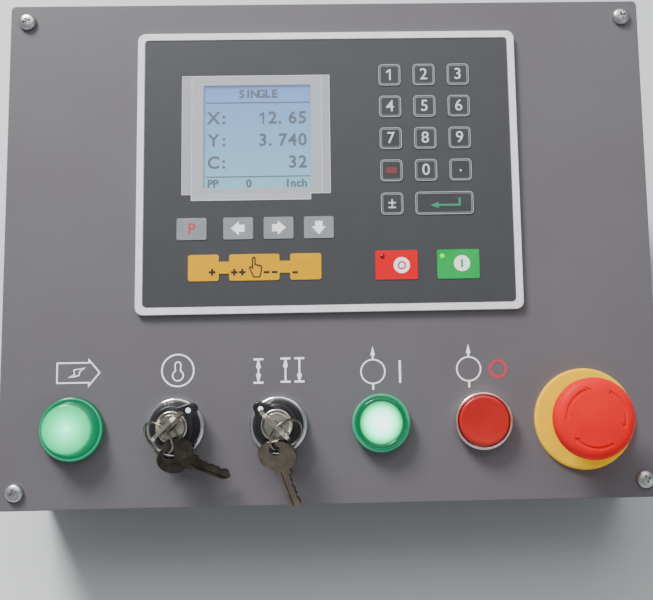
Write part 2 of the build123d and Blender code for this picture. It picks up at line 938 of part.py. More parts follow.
def button_ring(place):
    """Chromed ring of a push button, with the floor under its cap."""
    inner = button_ring_radius - button_ring_wall
    with BuildPart() as ring:
        turned(
            place,
            [
                (tube_radius + ring_nut_grip, 0),
                (button_ring_radius, 0),
                (button_ring_radius, button_ring_height - 1.0),
                (button_ring_radius - 0.5, button_ring_height - 0.2),
                (button_ring_radius - 1.0, button_ring_height),
                (inner, button_ring_height - 0.5),
                (inner, button_floor),
                (tube_radius + ring_nut_grip, button_floor),
            ],
        )
    return ring.part


def button_cap(place, hollow):
    """Cap of a push button with its plunger, hollow where a light stands in it."""
    cap_radius = button_ring_radius - button_ring_wall - button_gap
    with BuildPart() as cap:
        with BuildSketch(place.offset(button_height - button_disc)):
            Circle(cap_radius)
        extrude(amount=button_disc)
        fillet(cap.faces().sort_by(Axis((0, 0, 0), face_normal))[-1].edges(), radius=button_round)
        with BuildSketch(place.offset(-plunger_end)):
            Circle(plunger_radius)
        extrude(amount=plunger_end + button_height - button_disc)
        if hollow:
            with BuildSketch(place.offset(-plunger_end)):
                Circle(plunger_radius - plunger_wall)
            extrude(amount=plunger_end + button_height - button_disc, mode=Mode.SUBTRACT)
    return cap.part


def estop_disc(place):
    """Round yellow background plate of the emergency stop."""
    with BuildPart() as disc:
        turned(
            place,
            [
                (tube_radius + disc_seat_gap, 0),
                (disc_radius, 0),
                (disc_radius, disc_height - disc_chamfer),
                (disc_radius - disc_chamfer, disc_height),
                (tube_radius + disc_seat_gap, disc_height),
            ],
        )
    return disc.part


def estop_stem(place):
    """Stem of the emergency stop, its neck inside the head."""
    with BuildPart() as stem:
        turned(
            place,
            [
                (0, -plunger_end),
                (plunger_radius, -plunger_end),
                (plunger_radius, head_hub_level - neck_gap),
                (neck_radius, head_hub_level - neck_gap),
                (neck_radius, neck_level),
                (0, neck_level),
            ],
        )
    return stem.part


def estop_head(place):
    """Mushroom head with turning arrows sunk in its crown."""
    with BuildPart() as head:
        with BuildSketch(section(place)) as profile:
            with BuildLine():
                Polyline(
                    (0, head_height),
                    (0, neck_level + neck_gap),
                    (neck_radius + neck_gap, neck_level + neck_gap),
                    (neck_radius + neck_gap, head_hub_level),
                    (head_hub_radius, head_hub_level),
                    (head_hub_radius, head_side_low - 3.0),
                    (head_radius - 1.0, head_side_low),
                    (head_radius, head_side_low + 1.5),
                    (head_radius, head_side_high),
                )
                side = (head_radius, head_side_high)
                shoulder = (head_radius - head_crown - 0.6, head_height - 1.2)
                RadiusArc(side, shoulder, -(head_height - head_side_high))
                ThreePointArc(shoulder, (head_radius * 0.42, head_height - 0.25), (0, head_height))
            make_face()
        revolve(profile.sketch, axis=Axis(place.origin, place.z_dir))
        with BuildSketch(place.offset(head_height - 0.9 - arrow_depth)) as arrows:
            for number in range(arrow_count):
                start = arrow_start + number * 360 / arrow_count
                with BuildLine() as arc:
                    CenterArc((0, 0), arrow_radius, start, arrow_sweep)
                trace(arc.line, line_width=arrow_width)
                with PolarLocations(arrow_radius, 1, start_angle=start):
                    with Locations(Rotation(0, 0, 180)):
                        Triangle(a=arrow_width * 2.4, b=arrow_width * 2.0, c=arrow_width * 2.0)
        extrude(arrows.sketch, amount=head_crown, mode=Mode.SUBTRACT)
    return head.part


entry_plane = Plane(origin=(entry_x, back_wall, entry_z), x_dir=(-1, 0, 0), z_dir=(0, 1, 0))
os.makedirs("parts", exist_ok=True)

finish(housing(), "housing_shell")
finish(entry_plug(), "cable_entry_plug")
finish(earth_stud(), "earth_stud")
finish(gasket(), "panel_gasket")
finish(faceplate(), "faceplate")
finish(panel_screws(), "panel_screws")
finish(panel_nuts(), "panel_nuts")

finish(controller_bezel(), "controller_bezel")
finish(membrane_overlay(), "membrane_overlay")
finish(display_film(), "display_film")
finish(lcd_glass(), "lcd_glass")
finish(number_keys(), "number_keys")
finish(grey_keys(), "grey_keys")
finish(jog_keys(), "jog_keys")
finish(command_key(stop_key_x), "stop_key")
finish(command_key(start_key_x), "start_key")
finish(controller_case(), "controller_case")
finish(circuit_board(), "circuit_board")
finish(terminal_blocks(), "terminal_blocks")
finish(panel_clamps(), "panel_clamps")
finish(clamp_screws(), "clamp_screws")

finish(device_nuts(), "device_nuts")

lamp_place = on_face(lamp_x, device_row_y)
finish(lamp_lens(lamp_place), "lamp_lens")
finish(lamp_body(lamp_place), "lamp_body")
finish(light_module(lamp_place, lamp_light_radius, lamp_flange + 2.0), "lamp_module")

key_places = zip(switch_turns, ring_travels, spare_turns, spare_drops, spare_rolls, spare_slacks)
left_place, right_place = key_places
switches = {
    "left": KeySet(left_switch_x, *left_place),
    "right": KeySet(right_switch_x, *right_place),
}
for name, keys in switches.items():
    upright = Plane(origin=keys.rotor.origin, x_dir=(1, 0, 0), z_dir=face_normal)
    finish(switch_ring(upright), f"{name}_switch_ring")
    finish(switch_collar(keys.rotor), f"{name}_switch_collar")
    finish(switch_barrel(keys.rotor), f"{name}_switch_barrel")
    finish(device_body(upright, switch_ring_height), f"{name}_switch_body")
    finish(contact_block(upright), f"{name}_switch_contacts")
    finish(key(keys.key_plane), f"{name}_key")
    finish(key_ring(keys), f"{name}_key_ring")
    finish(key(keys.spare_plane), f"{name}_spare_key")

for name, x in {"start": start_x, "stop": stop_x}.items():
    place = on_face(x, device_row_y)
    lit = name == "start"
    finish(button_ring(place), f"{name}_button_ring")
    finish(button_cap(place, lit), f"{name}_button")
    finish(device_body(place, button_floor), f"{name}_button_body")
    finish(contact_block(place), f"{name}_button_contacts")
    if lit:
        finish(light_module(place, socket_radius, socket_height - bore_depth), f"{name}_button_light")

emergency_place = on_face(emergency_x, device_row_y)
stop_body = device_body(
    emergency_place, stop_collar_height, rim_radius=stop_collar_radius, rim_height=disc_height
)
finish(estop_disc(emergency_place), "estop_disc")
finish(estop_head(emergency_place), "estop_head")
finish(estop_stem(emergency_place), "estop_stem")
finish(stop_body, "estop_body")
finish(contact_block(emergency_place), "estop_contacts")
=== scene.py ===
"""Looks of a press brake's operator control box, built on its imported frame.

Blender works in metres here, in the frame of the CAD part. A place on the face is given in
millimetres as (x, y, z): x to the right, y up the slope and z out of the faceplate's front.
A piece is shaped in millimetres about its own middle, and then put in its place.
"""

import math

import bpy
from mathutils import Matrix, Vector


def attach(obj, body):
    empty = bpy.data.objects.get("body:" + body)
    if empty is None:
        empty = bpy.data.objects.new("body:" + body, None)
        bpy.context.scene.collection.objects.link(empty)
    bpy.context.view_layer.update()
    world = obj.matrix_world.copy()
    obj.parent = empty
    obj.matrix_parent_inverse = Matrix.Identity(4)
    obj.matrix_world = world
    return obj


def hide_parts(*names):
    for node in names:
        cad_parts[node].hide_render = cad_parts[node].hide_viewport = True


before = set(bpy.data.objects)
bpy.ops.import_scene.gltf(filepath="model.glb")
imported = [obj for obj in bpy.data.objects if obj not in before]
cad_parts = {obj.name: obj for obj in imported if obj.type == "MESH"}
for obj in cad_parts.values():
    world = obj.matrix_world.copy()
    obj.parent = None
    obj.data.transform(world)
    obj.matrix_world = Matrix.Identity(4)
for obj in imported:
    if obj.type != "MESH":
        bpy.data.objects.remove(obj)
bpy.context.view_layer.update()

# Places on the face, and heights over the faceplate's front

TILT = math.radians(25)
FACE_ORIGIN = Vector((0, -0.021131, 0.126297))
FACE = Matrix.Translation(FACE_ORIGIN) @ Matrix.Rotation(TILT, 4, "X") @ Matrix.Scale(0.001, 4)
ROW_Y = -92.0
LAMP_X, LEFT_X, RIGHT_X, START_X, STOP_X, EMERGENCY_X = -131.0, -79.0, -27.0, 25.0, 77.0, 129.0
DEVICE_PLACES = (LAMP_X, LEFT_X, RIGHT_X, START_X, STOP_X, EMERGENCY_X)
SCREW_PLACES = [(x, y) for x in (-159, 159) for y in (-123, 123)]
CONTROLLER_Y = 40
LCD_X, LCD_RISE = -37.2, 18.5
PRINT_LIFT, PRINT_THICKNESS = 0.04, 0.05
LCD_MARK_LEVEL = 1.4 + PRINT_LIFT
FILM_LEVEL = 2.2
KEY_LEVEL = 2.5
MARK_LEVEL = KEY_LEVEL + PRINT_LIFT
SIGN_LEVEL = MARK_LEVEL + 0.06


def on_face(x, y, z=0.0, turn=0.0):
    """Place on the face in millimetres, turned anticlockwise about its normal by degrees."""
    return FACE @ Matrix.Translation((x, y, z)) @ Matrix.Rotation(math.radians(turn), 4, "Z")


def axes_at(origin, x_axis, z_axis):
    """Place from its origin and two directions, all in millimetres on the face."""
    x_axis, z_axis = x_axis.normalized(), z_axis.normalized()
    y_axis = z_axis.cross(x_axis)
    turned_axes = Matrix((x_axis, y_axis, z_axis)).transposed().to_4x4()
    return FACE @ Matrix.Translation(origin) @ turned_axes


# Finishes


def colour(text):
    """An sRGB hex value as a linear colour."""
    values = [int(text[i:i + 2], 16) / 255 for i in (1, 3, 5)]
    linear = [v / 12.92 if v <= 0.04045 else ((v + 0.055) / 1.055) ** 2.4 for v in values]
    return (*linear, 1.0)


def per_mm(size):
    """Noise scale, for Object coordinates in metres, that gives features of a size in millimetres."""
    return 1000.0 / size


def add_node(tree, kind, inputs=None, stops=(), **settings):
    """Adds a node with its settings and a ramp's (position, hex value) stops, and sets or links its inputs."""
    node = tree.nodes.new(kind)
    for name, value in settings.items():
        setattr(node, name, value)
    for name, value in (inputs or {}).items():
        if isinstance(value, bpy.types.NodeSocket):
            tree.links.new(value, node.inputs[name])
        else:
            node.inputs[name].default_value = value
    if stops:
        elements = node.color_ramp.elements
        while len(elements) < len(stops):
            elements.new(0.5)
        for element, (position, text) in zip(elements, stops):
            element.position = position
            element.color = colour(text)
    return node


def start_finish(name, **values):
    """A new material with its shader's constants set: returns it, its tree, shader and coordinates."""
    finish = bpy.data.materials.new(name)
    finish.use_nodes = True
    tree = finish.node_tree
    shader = tree.nodes["Principled BSDF"]
    for socket, value in values.items():
        shader.inputs[socket.replace("_", " ")].default_value = value
    coordinates = add_node(tree, "ShaderNodeTexCoord").outputs["Object"]
    return finish, tree, shader, coordinates


def mottle(tree, coordinates, size, low, high):
    """Colour that drifts between two hex values over a size in millimetres."""
    noise = add_node(
        tree, "ShaderNodeTexNoise", {"Vector": coordinates, "Scale": per_mm(size), "Detail": 3.0}
    )
    ramp = add_node(
        tree, "ShaderNodeValToRGB", {"Fac": noise.outputs["Fac"]}, [(0.3, low), (0.7, high)]
    )
    return ramp.outputs["Color"]


def grain(tree, shader, coordinates, size, height, rough=None):
    """Fine relief of a size and height in millimetres.

    Where two roughness values are given, the surface wanders between them over patches nine grains wide,
    as handling and wiping leave it.
    """
    noise = add_node(
        tree, "ShaderNodeTexNoise", {"Vector": coordinates, "Scale": per_mm(size), "Detail": 2.0}
    )
    bump = add_node(
        tree, "ShaderNodeBump",
        {"Height": noise.outputs["Fac"], "Distance": height * 0.001, "Strength": 1.0},
    )
    tree.links.new(bump.outputs["Normal"], shader.inputs["Normal"])
    if rough:
        patches = add_node(
            tree, "ShaderNodeTexNoise", {"Vector": coordinates, "Scale": per_mm(size * 9), "Detail": 4.0}
        )
        span = add_node(
            tree, "ShaderNodeMapRange",
            {"Value": patches.outputs["Fac"], "From Min": 0.3, "From Max": 0.7,
             "To Min": rough[0], "To Max": rough[1]},
        )
        tree.links.new(span.outputs["Result"], shader.inputs["Roughness"])


def painted_steel(name, low, high, peel):
    """Powder coat on sheet steel: a soft sheen broken by orange peel, and a colour that drifts a little."""
    finish, tree, shader, coordinates = start_finish(name, IOR=1.5)
    tree.links.new(mottle(tree, coordinates, 70, low, high), shader.inputs["Base Color"])
    grain(tree, shader, coordinates, peel, 0.012, (0.52, 0.6))
    return finish


def moulded_plastic(name, low, high, rough, texture=0.5, depth=0.008):
    """Moulded or rolled plastic: an even colour, a fine texture of the tool and a soft highlight."""
    finish, tree, shader, coordinates = start_finish(name, IOR=1.49)
    tree.links.new(mottle(tree, coordinates, 12, low, high), shader.inputs["Base Color"])
    grain(tree, shader, coordinates, texture, depth, rough)
    return finish


def glowing_colour(name, low, high, rough, glow, texture=0.5, depth=0.006):
    """A colour with a weak highlight and an emission glow of the same colour. On signal plastics the glow is
    painted light that keeps the colour vivid in shade, on a lit indicator it is its own light, and on a chrome
    ring it is a painted reflection.
    """
    finish, tree, shader, coordinates = start_finish(
        name, IOR=1.49, Specular_IOR_Level=0.1, Emission_Strength=glow
    )
    tint = mottle(tree, coordinates, 12, low, high)
    tree.links.new(tint, shader.inputs["Base Color"])
    tree.links.new(tint, shader.inputs["Emission Color"])
    grain(tree, shader, coordinates, texture, depth, rough)
    return finish


def plated_metal(name, low, high, rough):
    """Plated metal: mirror-like, dulled here and there by handling and fine scratches."""
    finish, tree, shader, coordinates = start_finish(name, Metallic=1.0)
    tree.links.new(mottle(tree, coordinates, 5, low, high), shader.inputs["Base Color"])
    grain(tree, shader, coordinates, 0.4, 0.004, rough)
    return finish


def screen_ink(name, low, high, glow=0.0):
    """Screen-printed ink: opaque and matt, a little uneven where the mesh left it thin.

    The glow is painted light, which makes an ink read brighter than the lamps alone would make it.
    """
    finish, tree, shader, coordinates = start_finish(
        name, IOR=1.5, Emission_Strength=glow, Emission_Color=colour(high)
    )
    tree.links.new(mottle(tree, coordinates, 0.9, low, high), shader.inputs["Base Color"])
    grain(tree, shader, coordinates, 0.6, 0.004, (0.55, 0.7))
    return finish


def lit_acrylic(name, x, stops):
    """Translucent acrylic lit from behind: a pale core that deepens outwards, under a glossy skin.

    The glow goes by the distance from the middle of the device at x, with stops of (millimetres, hex value).
    """
    finish, tree, shader, coordinates = start_finish(
        name, IOR=1.49, Emission_Strength=4.0, Roughness=0.16, Base_Color=colour("#042A1A"),
        Coat_Weight=0.12, Coat_Roughness=0.05,
    )
    middle = Matrix.Rotation(-TILT, 3, "X") @ (FACE @ Vector((x, ROW_Y, 0)))
    local = add_node(
        tree, "ShaderNodeMapping",
        {"Vector": coordinates, "Rotation": (-TILT, 0, 0), "Location": -middle},
    )
    flat = add_node(
        tree, "ShaderNodeVectorMath", {0: local.outputs["Vector"], 1: (1.0, 1.0, 0.0)},
        operation="MULTIPLY",
    )
    reach = add_node(tree, "ShaderNodeVectorMath", {0: flat.outputs["Vector"]}, operation="LENGTH")
    last = stops[-1][0]
    share = add_node(
        tree, "ShaderNodeMapRange",
        {"Value": reach.outputs["Value"], "From Min": 0.0, "From Max": last * 0.001},
    )
    ramp = add_node(
        tree, "ShaderNodeValToRGB", {"Fac": share.outputs["Result"]},
        [(radius / last, text) for radius, text in stops],
    )
    tree.links.new(ramp.outputs["Color"], shader.inputs["Emission Color"])
    return finish


def liquid_crystal():
    """Backlit liquid crystal: an even light, greener at the foot and bluer at the top, behind dull glass."""
    finish, tree, shader, coordinates = start_finish(
        "backlit_liquid_crystal", IOR=1.5, Roughness=0.3, Emission_Strength=0.4, Specular_IOR_Level=0.2
    )
    height = add_node(tree, "ShaderNodeSeparateXYZ", {"Vector": coordinates}).outputs["Z"]
    share = add_node(
        tree, "ShaderNodeMapRange", {"Value": height, "From Min": 0.1393, "From Max": 0.1628}
    )
    ramp = add_node(
        tree, "ShaderNodeValToRGB", {"Fac": share.outputs["Result"]},
        [(0.0, "#74B4C4"), (1.0, "#5C8CCC")],
    )
    tree.links.new(ramp.outputs["Color"], shader.inputs["Base Color"])
    tree.links.new(ramp.outputs["Color"], shader.inputs["Emission Color"])
    return finish


def film_finish(name, tint, alpha):
    """Thin polyester film: a faint milky veil with slow waves, through which what lies behind shows."""
    finish, tree, shader, coordinates = start_finish(
        name, IOR=1.5, Roughness=0.3, Base_Color=colour(tint), Alpha=alpha
    )
    grain(tree, shader, coordinates, 4.0, 0.01)
    return finish


# The real textures of tools, films, print meshes and scratches are 0.02 to 0.1 mm, too fine to show in the
# render. They are drawn 0.35 to 1 mm wide, as coarse as they need to be to show. Orange peel, foam cells and
# the waves of film and solder mask are drawn at their real size.

# Powder coat: orange peel blurs every highlight, so that the sheets look satin and evenly lit
GREY_COAT = painted_steel("satin_grey_powder_coat", "#615D62", "#656266", 1.1)
SHELL_COAT = painted_steel("grey_structure_coat", "#5C595D", "#615E62", 0.9)

# Controller: a clean white frame round a silky dark film, with fields a shade glossier than the film. The
# yellow, red and green fields carry a painted glow that keeps their colours vivid.
WHITE_ABS = moulded_plastic("white_abs", "#F0F0F4", "#FBFBFF", (0.35, 0.45))
CHARCOAL_FILM = moulded_plastic("charcoal_polyester_film", "#3A3B3E", "#3D3E41", (0.44, 0.5), 0.35, 0.006)
KEY_FIELD = moulded_plastic("embossed_charcoal_key", "#313235", "#38393C", (0.38, 0.48), 0.35, 0.005)
GREY_FIELD = moulded_plastic("embossed_grey_key", "#868B8F", "#919599", (0.35, 0.45), 0.35, 0.005)
YELLOW_FIELD = glowing_colour("embossed_yellow_key", "#CB9300", "#D09A00", (0.4, 0.5), 0.42, 0.35, 0.005)
RED_FIELD = glowing_colour("embossed_red_key", "#D40418", "#DA0C20", (0.4, 0.5), 0.25, 0.35, 0.005)
GREEN_FIELD = glowing_colour("embossed_green_key", "#009C44", "#06A64C", (0.4, 0.5), 0.25, 0.35, 0.005)

# Inks: flat and crisp against the sheen of coat and film, the white one brightest of all with a painted glow
WHITE_INK = screen_ink("white_screen_ink", "#EFEFF1", "#FCFCFE", 0.36)
KEY_INK = screen_ink("light_key_ink", "#CFD0D4", "#DFE0E3")
FRAME_INK = screen_ink("grey_key_frame_ink", "#ABACB0", "#B9BABD")
BLACK_INK = screen_ink("black_screen_ink", "#131115", "#1C1A1E")
RED_INK = screen_ink("red_screen_ink", "#C62A44", "#D23750")
GREEN_INK = screen_ink("green_screen_ink", "#27865F", "#33946C")
DARK_RED_INK = screen_ink("dark_red_screen_ink", "#752935", "#81323E")
LCD_INK = screen_ink("liquid_crystal_segment", "#22384C", "#2C4458")

# Control devices: black nylon with a dull bloom, and signal colours that a painted glow keeps vivid in shade
BLACK_NYLON = moulded_plastic("black_glass_filled_nylon", "#111113", "#18181A", (0.32, 0.48), 0.4, 0.01)
RED_ABS = glowing_colour("red_abs", "#E31318", "#EC1B20", (0.36, 0.48), 0.12, 0.6)
YELLOW_ABS = glowing_colour("yellow_abs", "#F2BC04", "#F4C40C", (0.4, 0.52), 0.26)
BUTTON_RED = moulded_plastic("red_acrylic", "#B61714", "#BF221E", (0.18, 0.28), 3.0, 0.003)
LAMP_DARK = moulded_plastic("unlit_red_indicator", "#7A1218", "#8A1A20", (0.12, 0.2), 1.0, 0.002)
LAMP_BRIGHT = glowing_colour("lit_green_indicator", "#48F020", "#5CFF34", (0.12, 0.2), 1.0, 1.0, 0.002)
LAMP_GREEN = lit_acrylic(
    "lit_green_lamp_acrylic", LAMP_X,
    [(0, "#70FFC8"), (3.2, "#30E0A4"), (6.4, "#08C484"), (9, "#00AC6C"), (11.4, "#00985C"),
     (12.3, "#006840"), (12.8, "#00472C"), (14.6, "#003F26"), (15.2, "#006C48"), (15.9, "#003A26"),
     (16.4, "#000E08")],
)
BUTTON_GREEN = lit_acrylic(
    "lit_green_button_acrylic", START_X,
    [(0, "#E8FFFF"), (4.5, "#BCFFF0"), (7.0, "#54FFC4"), (9.0, "#00CC7C"), (10.3, "#008C54"),
     (10.9, "#004024"), (12.5, "#00381E"), (12.9, "#005434")],
)

# Bright parts: chrome gives sharp glints, nickel and zinc softer and warmer ones, the hanging keys only dull
# ones under painted shade.
# The rings of the two buttons have painted reflections of their caps: pink on the stop ring, green with a
# painted glow on the start ring.
CHROME = plated_metal("polished_chrome_plate", "#D6D6D8", "#E6E6E8", (0.06, 0.14))
CHROME_PAINTED_GREEN_REFLECTION = glowing_colour("chrome_painted_green_reflection", "#2C936E", "#40A17C", (0.2, 0.3), 0.3)
CHROME_PAINTED_RED_REFLECTION = plated_metal("chrome_painted_red_reflection", "#F2DAD6", "#FFE8E4", (0.16, 0.28))
NICKEL = plated_metal("nickel_plated_brass", "#B4AEA6", "#D6D2CA", (0.12, 0.26))
# The hanging keys are the nickel of the keys in the locks, made darker with painted shade, the left one
# darkest.
NICKEL_KEY_PAINTED_SHADE = plated_metal("nickel_key_painted_shade", "#3F3934", "#625B52", (0.16, 0.34))
BRIGHT_NICKEL = plated_metal("bright_nickel_key", "#B8B0A2", "#DCD6CA", (0.14, 0.28))
NICKEL_KEY_PAINTED_HALF_SHADE = plated_metal("nickel_key_painted_half_shade", "#696056", "#857B6E", (0.22, 0.36))
# The wire rings are drawn in a darker steel.
RING_STEEL = plated_metal("dark_steel_ring", "#66605A", "#8C857C", (0.22, 0.36))
ZINC = plated_metal("zinc_plated_steel", "#B5B6B6", "#CDCECC", (0.25, 0.42))

# Inside and below: dull rubber, foam and moulded housings, and the slight gloss of a varnished board
RUBBER = moulded_plastic("black_nitrile_rubber", "#161616", "#1E1E1E", (0.6, 0.75), 0.8, 0.01)
FOAM = moulded_plastic("black_closed_cell_foam", "#1A1A1B", "#242425", (0.8, 0.9), 0.5, 0.03)
CASE_ABS = moulded_plastic("dark_grey_abs", "#2C2D30", "#35363A", (0.45, 0.6))
BOARD = moulded_plastic("green_solder_mask", "#0F4A26", "#155A30", (0.25, 0.4), 2.0, 0.01)
TERMINAL = moulded_plastic("green_polyamide", "#2B7A44", "#33884E", (0.4, 0.55))
CONTACT_GREY = moulded_plastic("light_grey_polyamide", "#B9BAB8", "#C6C7C5", (0.45, 0.6))
DIFFUSER = moulded_plastic("opal_acrylic", "#E6EAE4", "#F2F4EE", (0.3, 0.4))

# Display: light from within, under a film that is milky round the window, with a painted highlight along its
# cut edges
LCD_GLASS = liquid_crystal()
MILKY_FILM = film_finish("milky_polyester_film", "#E6E8EE", 0.35)
CLEAR_FILM = film_finish("clear_polyester_film", "#E6E8EE", 0.07)
SECOND_FILM = film_finish("second_milky_film", "#E6E8EE", 0.18)
FILM_EDGE_HIGHLIGHT = film_finish("film_edge_painted_highlight", "#F4F4F8", 0.75)


# Shapes, in millimetres about their own middle


def alone(piece):
    """Selects one piece only."""
    bpy.ops.object.select_all(action="DESELECT")
    piece.select_set(True)
    bpy.context.view_layer.objects.active = piece
    return piece


def shifted(piece, x=0, y=0, z=0):
    """Moves a piece's mesh."""
    piece.data.transform(Matrix.Translation((x, y, z)))
    return piece


def smooth(piece, angle=35):
    """Smooth shading across all but sharp edges."""
    alone(piece)
    bpy.ops.object.shade_smooth_by_angle(angle=math.radians(angle))
    return piece


def apply_modifier(piece, kind, **settings):
    """Adds a modifier to a piece and applies it."""
    alone(piece)
    modifier = piece.modifiers.new(kind.lower(), kind)
    for name, value in settings.items():
        setattr(modifier, name, value)
    bpy.ops.object.modifier_apply(modifier=modifier.name)
    return piece


def soften(piece, width, segments=3, angle=28):
    """Rounds a piece's sharp edges and smooths what is left."""
    apply_modifier(
        piece, "BEVEL", width=width, segments=segments, limit_method="ANGLE",
        angle_limit=math.radians(angle), harden_normals=False, use_clamp_overlap=True,
    )
    return smooth(piece)


def combine(piece, other, operation):
    """Cuts a piece by another, or fuses the two, and uses the other one up."""
    apply_modifier(piece, "BOOLEAN", object=other, operation=operation, solver="EXACT")
    bpy.data.objects.remove(other)
    return piece


def joined(name, pieces):
    """Several pieces made into one."""
    bpy.ops.object.select_all(action="DESELECT")
    for piece in pieces:
        piece.select_set(True)
    bpy.context.view_layer.objects.active = pieces[0]
    bpy.ops.object.join()
    pieces[0].name = name
    return pieces[0]


def turned(name, outline, sides=96):
    """A turned piece: a circle extruded and scaled through (radius, height) points.

    An outline that starts at radius 0 is closed by a cap, and one that comes back to its start is a ring.
    """
    bpy.ops.object.select_all(action="DESELECT")
    points = list(outline)
    capped = points[0][0] == 0
    if capped:
        points = points[1:]
    radius, height = points[0]
    fill = "NGON" if capped else "NOTHING"
    bpy.ops.mesh.primitive_circle_add(vertices=sides, radius=radius, fill_type=fill)
    piece = bpy.context.object
    piece.name = name
    bpy.ops.object.mode_set(mode="EDIT")
    bpy.ops.transform.translate(value=(0, 0, height))
    if capped:
        bpy.ops.mesh.select_mode(type="EDGE")
        bpy.ops.mesh.select_all(action="SELECT")
    for next_radius, next_height in points[1:]:
        shift = {"value": (0, 0, next_height - height)}
        if capped:
            bpy.ops.mesh.extrude_edges_move(TRANSFORM_OT_translate=shift)
        else:
            bpy.ops.mesh.extrude_region_move(TRANSFORM_OT_translate=shift)
        if next_radius == 0:
            bpy.ops.mesh.merge(type="CENTER")
            break
        if next_radius != radius:
            bpy.ops.transform.resize(value=(next_radius / radius, next_radius / radius, 1))
        radius, height = next_radius, next_height
    bpy.ops.mesh.select_all(action="SELECT")
    bpy.ops.mesh.remove_doubles(threshold=0.001)
    bpy.ops.mesh.normals_make_consistent(inside=False)
    bpy.ops.object.mode_set(mode="OBJECT")
    return piece


def drawn_curve(name, outlines, closed, **settings):
    """A mesh made from a curve with its settings, drawn through outlines of (x, y) points."""
    curve = bpy.data.curves.new(name, "CURVE")
    for setting, value in settings.items():
        setattr(curve, setting, value)
    for outline in outlines:
        spline = curve.splines.new("POLY")
        spline.points.add(len(outline) - 1)
        for point, (x, y) in zip(spline.points, outline):
            point.co = (x, y, 0, 1)
        spline.use_cyclic_u = closed
    piece = bpy.data.objects.new(name, curve)
    bpy.context.scene.collection.objects.link(piece)
    alone(piece)
    bpy.ops.object.convert(target="MESH")
    return bpy.context.object


def flat_shape(name, outlines, thickness):
    """A plate filled between closed outlines of (x, y) points, standing on its own plane."""
    piece = drawn_curve(name, outlines, True, dimensions="2D", fill_mode="BOTH", extrude=thickness / 2)
    bpy.ops.object.mode_set(mode="EDIT")
    bpy.ops.mesh.select_all(action="SELECT")
    bpy.ops.mesh.remove_doubles(threshold=0.0005)
    bpy.ops.mesh.dissolve_limited(angle_limit=math.radians(0.5))
    bpy.ops.mesh.normals_make_consistent(inside=False)
    bpy.ops.transform.translate(value=(0, 0, thickness / 2))
    bpy.ops.object.mode_set(mode="OBJECT")
    return smooth(piece)


def lettering(name, text, size, bold=0.0):
    """Plain figures and letters as a thin plate, the figure one with its flag."""
    if text == "1":
        flag = [(-0.02, -0.34), (0.08, -0.34), (0.08, 0.36), (-0.01, 0.36), (-0.2, 0.21), (-0.2, 0.1),
                (-0.02, 0.21)]
        return flat_shape(name, [[(size * x, size * y) for x, y in flag]], PRINT_THICKNESS)
    bpy.ops.object.select_all(action="DESELECT")
    bpy.ops.object.text_add()
    piece = bpy.context.object
    piece.name = name
    piece.data.body = text
    piece.data.size = size
    piece.data.align_x = "CENTER"
    piece.data.align_y = "CENTER"
    piece.data.offset = bold
    piece.data.extrude = PRINT_THICKNESS / 2
    piece.data.resolution_u = 4
    bpy.ops.object.convert(target="MESH")
    piece = bpy.context.object
    bpy.ops.object.mode_set(mode="EDIT")
    bpy.ops.mesh.select_all(action="SELECT")
    bpy.ops.mesh.remove_doubles(threshold=0.0005)
    bpy.ops.transform.translate(value=(0, 0, PRINT_THICKNESS / 2))
    bpy.ops.object.mode_set(mode="OBJECT")
    return piece


def polar(radius, degrees, x=0.0, y=0.0):
    """Point at a radius and an angle in degrees round (x, y)."""
    angle = math.radians(degrees)
    return x + radius * math.cos(angle), y + radius * math.sin(angle)


def circle(radius, x=0.0, y=0.0, steps=64):
    """Points of a circle."""
    return [
        (x + radius * math.cos(2 * math.pi * i / steps), y + radius * math.sin(2 * math.pi * i / steps))
        for i in range(steps)
    ]


def arc(radius, start, end, x=0.0, y=0.0, steps=12):
    """Points of an arc between two angles in degrees."""
    return [polar(radius, start + (end - start) * i / steps, x, y) for i in range(steps + 1)]


def rounded(width, height, corner, x=0.0, y=0.0, steps=6):
    """Points of a rectangle with rounded corners."""
    far_x, far_y = width / 2 - corner, height / 2 - corner
    points = []
    for start, side_x, side_y in ((0, 1, 1), (90, -1, 1), (180, -1, -1), (270, 1, -1)):
        points += arc(corner, start, start + 90, x + side_x * far_x, y + side_y * far_y, steps)
    return points


def line(points, width, closed=False):
    """Outlines of a drawn line of a given width through points, with mitred corners.

    A mitre reaches out less than three times the line's half width, however sharp its corner.
    """
    places = [Vector(point) for point in points]
    left, right = [], []
    for i, here in enumerate(places):
        ways = []
        if closed or i > 0:
            ways.append((here - places[i - 1]).normalized())
        if closed or i < len(places) - 1:
            ways.append((places[(i + 1) % len(places)] - here).normalized())
        sides = [Vector((-way.y, way.x)) for way in ways]
        side = sum(sides, Vector((0, 0))).normalized()
        reach = width / 2 / max(side.dot(sides[0]), 0.35)
        left.append(tuple(here + side * reach))
        right.append(tuple(here - side * reach))
    if closed:
        return [left, right]
    return [left + right[::-1]]


def settle(piece, place, finish, body, nodes=()):
    """Puts a piece in its place, gives it its finish, and lets it ride with a body.

    A piece that stands for nodes is shaded by its larger faces, so that its narrow rounded edges look soft.
    """
    if nodes:
        apply_modifier(piece, "WEIGHTED_NORMAL", keep_sharp=True)
    piece.data.transform(piece.matrix_world)
    piece.matrix_world = Matrix.Identity(4)
    piece.data.transform(place)
    piece.data.materials.clear()
    piece.data.materials.append(finish)
    piece.data.update()
    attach(piece, body)
    if nodes:
        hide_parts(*nodes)
    return piece


def printed(name, outlines, x, y, z, ink, turn=0.0):
    """A print between outlines, laid on the face at a height."""
    return settle(
        flat_shape(name, outlines, PRINT_THICKNESS), on_face(x, y, z, turn), ink, "housing"
    )


def key_figure(name, text, size, x, y, ink, bold):
    """A figure printed on a key."""
    return settle(lettering(name, text, size, bold), on_face(x, y, MARK_LEVEL), ink, "housing")


# Pieces that keep their CAD shape

